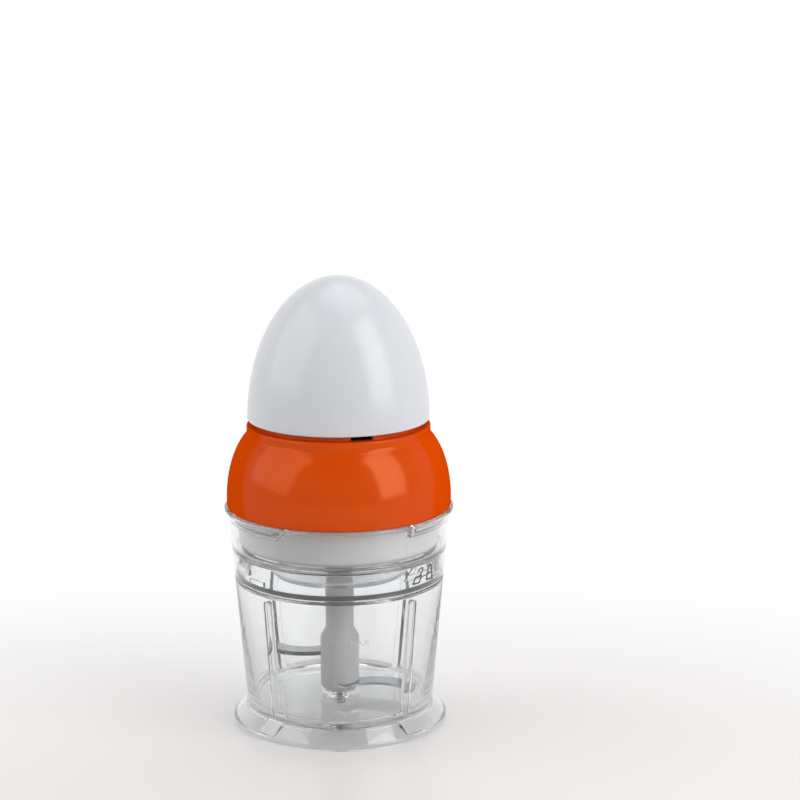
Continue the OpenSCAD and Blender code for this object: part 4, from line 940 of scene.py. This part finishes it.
class CHOPPER_OT_marks(bpy.types.Operator):
    """Put the fill mark on the bowl and the open and shut padlocks on the lid"""

    bl_idname = "chopper.marks"
    bl_label = "Moulded marks"

    def execute(self, context):
        rise = sizes().mark_height / MM

        def wrapped(curve, name, wall, turn, z):
            """A flat curve in mm as a raised mark on a round wall."""
            curve.dimensions = "2D"
            curve.fill_mode = "BOTH"
            curve.extrude = rise / 2
            mesh = settled(temporary(curve, name))
            made = bmesh.new()
            made.from_mesh(mesh)
            for v in made.verts:
                height = z + v.co.y
                r = wall_radius(wall, height)
                t = math.radians(FRONT + turn) + v.co.x / r
                v.co = round_place(r + v.co.z + rise * 0.35, t, height)
            return as_mesh(made, name)

        text = bpy.data.curves.new("fill_mark", "FONT")
        text.body = "MAX"
        text.size = 4.4
        text.align_x = "CENTER"
        fill = wrapped(text, "fill_mark", BOWL_WALL, 12.5, 52.6)
        dress("fill_mark", fill, "clear_plastic", "bowl", finish="fill_mark")

        mark_scale, bow_r, bow_in, bow_z, leg = 1.55, 1.3, 0.8, 3.9, 1.2

        def outline(curve, points, lean):
            places = [((x + lean * y) * mark_scale, y * mark_scale, 0) for x, y in points]
            trace(curve, places, closed=True)

        def box(curve, w, h, y0, lean):
            corners = [(-w, y0, 0.4), (w, y0, 0.4), (w, y0 + h, 0.4), (-w, y0 + h, 0.4)]
            outline(curve, rounded(corners, steps=3), lean)

        def padlock(swing, lean):
            curve = bpy.data.curves.new("padlock", "CURVE")
            curve.dimensions = "2D"
            box(curve, 1.7, 2.6, 0, lean)
            box(curve, 1.2, 1.6, 0.5, lean)
            outer, inner = (arc(r, r, (0, 0), math.pi, steps=12) for r in (bow_r, bow_in))
            short = leg * 0.4 if swing else leg
            bow = [(bow_r, -leg)] + outer + [(-bow_r, -short), (-bow_in, -short)] + inner[::-1] + [(bow_in, -leg)]
            cos, sin = math.cos(swing), math.sin(swing)
            outline(curve, [(x * cos - y * sin, x * sin + y * cos + bow_z) for x, y in bow], lean)
            return curve

        kinds = ((-0.5, 0.45, 46.2), (0.0, 0.0, 57.6))
        locks = [wrapped(padlock(swing, lean), "padlock", LID_WALL, turn, 79.7) for swing, lean, turn in kinds]
        dress("lock_marks", joined("lock_marks", locks), "clear_plastic", "lid", finish="lock_mark")
        return {"FINISHED"}


class CHOPPER_OT_stage(bpy.types.Operator):
    """Set the camera, the floor and the studio light"""

    bl_idname = "chopper.stage"
    bl_label = "Stage"

    def execute(self, context):
        stage = context.scene.chopper_stage
        lens = bpy.data.cameras.new("camera")
        lens.lens = stage.lens
        lens.sensor_width = 36
        lens.dof.use_dof = False
        camera = bpy.data.objects.new("camera", lens)
        camera.location = stage.camera_place
        camera.rotation_euler = (math.pi / 2 - stage.camera_pitch, 0, 0)
        context.scene.collection.objects.link(camera)
        context.scene.camera = camera
        context.scene.view_settings.view_transform = "Standard"
        for limit in ("max_bounces", "glossy_bounces", "transmission_bounces"):
            setattr(context.scene.cycles, limit, stage.clear_bounces)
        self.lay_floor(context, stage)
        self.light(context, stage)
        return {"FINISHED"}

    def seen(self, tree):
        """One for rays that show the background: from the camera, off gloss and through clear plastic."""
        path = node(tree, "ShaderNodeLightPath").outputs
        shown = maths(tree, "MAXIMUM", path["Is Camera Ray"], path["Is Glossy Ray"])
        shown = maths(tree, "MAXIMUM", shown, path["Is Transmission Ray"])
        plain = maths(tree, "LESS_THAN", path["Diffuse Depth"], 0.5)
        return maths(tree, "MULTIPLY", shown, plain)

    def lay_floor(self, context, stage):
        made = bmesh.new()
        bmesh.ops.create_circle(made, cap_ends=True, segments=64, radius=30.0)
        floor = bpy.data.objects.new("floor", as_mesh(made, "floor"))
        context.scene.collection.objects.link(floor)
        skin = bpy.data.materials.new("Pale floor")
        skin.use_nodes = True
        tree = skin.node_tree
        body = tree.nodes["Principled BSDF"]
        place = node(tree, "ShaderNodeTexCoord").outputs["Object"]
        cloud = node(tree, "ShaderNodeTexNoise", {"Vector": place, "Scale": 9.0, "Detail": 2.0})
        tint = tuple(stage.floor_colour)
        tone = between(tree, cloud.outputs[0], (*tint, 1), (*[c * 0.985 for c in tint], 1))
        tree.links.new(tone, body.inputs["Base Color"])
        body.inputs["Roughness"].default_value = 0.22
        body.inputs["Specular IOR Level"].default_value = 0.4
        near = node(tree, "ShaderNodeMapping", {
            "Vector": place, "Location": (0.0, 0.2, 0.0), "Scale": (0.75, 1.0, 1.0)})
        far = node(tree, "ShaderNodeVectorMath", {0: near.outputs[0]}, operation="LENGTH")
        fade = ramp(tree, far.outputs["Value"], 0.06, 0.5, shape="SMOOTHSTEP")
        share = maths(tree, "MULTIPLY", fade, self.seen(tree))
        white = node(tree, "ShaderNodeEmission", {"Color": WHITE, "Strength": 1.0})
        mixed = node(tree, "ShaderNodeMixShader", {0: share, 1: body.outputs[0], 2: white.outputs[0]})
        tree.links.new(mixed.outputs[0], tree.nodes["Material Output"].inputs["Surface"])
        floor.data.materials.append(skin)

    def light(self, context, stage):
        world = bpy.data.worlds.new("studio")
        context.scene.world = world
        world.use_nodes = True
        tree = world.node_tree
        even = tree.nodes["Background"]
        even.inputs["Color"].default_value = WHITE
        even.inputs["Strength"].default_value = stage.room_light
        way = node(tree, "ShaderNodeTexCoord").outputs["Generated"]
        along = node(tree, "ShaderNodeSeparateXYZ", {0: way})
        ceiling = ramp(tree, along.outputs["Z"], 0.3, 0.75, 1.0, 0.3, "SMOOTHSTEP")
        behind = ramp(tree, along.outputs["Y"], -0.3, 0.35, 0.6, 1.0, "SMOOTHSTEP")
        level = maths(tree, "MULTIPLY", ceiling, behind)
        backdrop = node(tree, "ShaderNodeBackground", {"Color": WHITE, "Strength": level})
        mixed = node(tree, "ShaderNodeMixShader", {0: self.seen(tree), 1: even.outputs[0], 2: backdrop.outputs[0]})
        tree.links.new(mixed.outputs[0], tree.nodes["World Output"].inputs["Surface"])
        aim = Vector((0, 0, 0.12))
        # Name, power, width and height in m, turn from the front and rise in degrees, distance in m
        lamps = [
            ("window_light", stage.window_light, (0.62, 1.1), 59, 30, 1.1),
            ("soft_light", stage.soft_light, (1.3, 1.3), -76, 32, 1.3),
            ("top_light", stage.top_light, (1.2, 1.2), 150, 76, 1.5),
        ]
        for name, power, (width, height), turn, rise, away in lamps:
            lamp = bpy.data.lights.new(name, "AREA")
            lamp.shape = "RECTANGLE"
            lamp.size = width
            lamp.size_y = height
            lamp.energy = power
            held = bpy.data.objects.new(name, lamp)
            t, s = math.radians(turn), math.radians(rise)
            back = Vector((math.sin(t) * math.cos(s), -math.cos(t) * math.cos(s), math.sin(s)))
            held.location = aim + back * away
            held.rotation_euler = (-back).to_track_quat("-Z", "Y").to_euler()
            context.scene.collection.objects.link(held)


class CHOPPER_PT_looks(bpy.types.Panel):
    """Lists the chopper's settings and pieces"""

    bl_idname = "CHOPPER_PT_looks"
    bl_label = "Mini chopper"
    bl_space_type = "VIEW_3D"
    bl_region_type = "UI"
    bl_category = "Chopper"

    def draw(self, context):
        for group in (context.scene.chopper_sizes, context.scene.chopper_colours, context.scene.chopper_stage):
            column = self.layout.column(align=True)
            for key in group.__annotations__:
                column.prop(group, key)
        for piece in PIECES:
            self.layout.operator(piece.bl_idname)


PIECES = [
    CHOPPER_OT_stage, CHOPPER_OT_finishes, CHOPPER_OT_bowl, CHOPPER_OT_lid, CHOPPER_OT_cover, CHOPPER_OT_housing,
    CHOPPER_OT_dome, CHOPPER_OT_hub, CHOPPER_OT_screws, CHOPPER_OT_springs, CHOPPER_OT_leads, CHOPPER_OT_marks,
]
GROUPS = {"chopper_sizes": ChopperSizes, "chopper_colours": ChopperColours, "chopper_stage": ChopperStage}


def register():
    for kind in [*GROUPS.values(), *PIECES, CHOPPER_PT_looks]:
        bpy.utils.register_class(kind)
    for name, group in GROUPS.items():
        setattr(bpy.types.Scene, name, bpy.props.PointerProperty(type=group))


def unregister():
    for name in GROUPS:
        delattr(bpy.types.Scene, name)
    for kind in reversed([*GROUPS.values(), *PIECES, CHOPPER_PT_looks]):
        bpy.utils.unregister_class(kind)


def main():
    register()
    for piece in PIECES:
        family, name = piece.bl_idname.split(".")
        getattr(getattr(bpy.ops, family), name)()


if __name__ == "__main__":
    main()
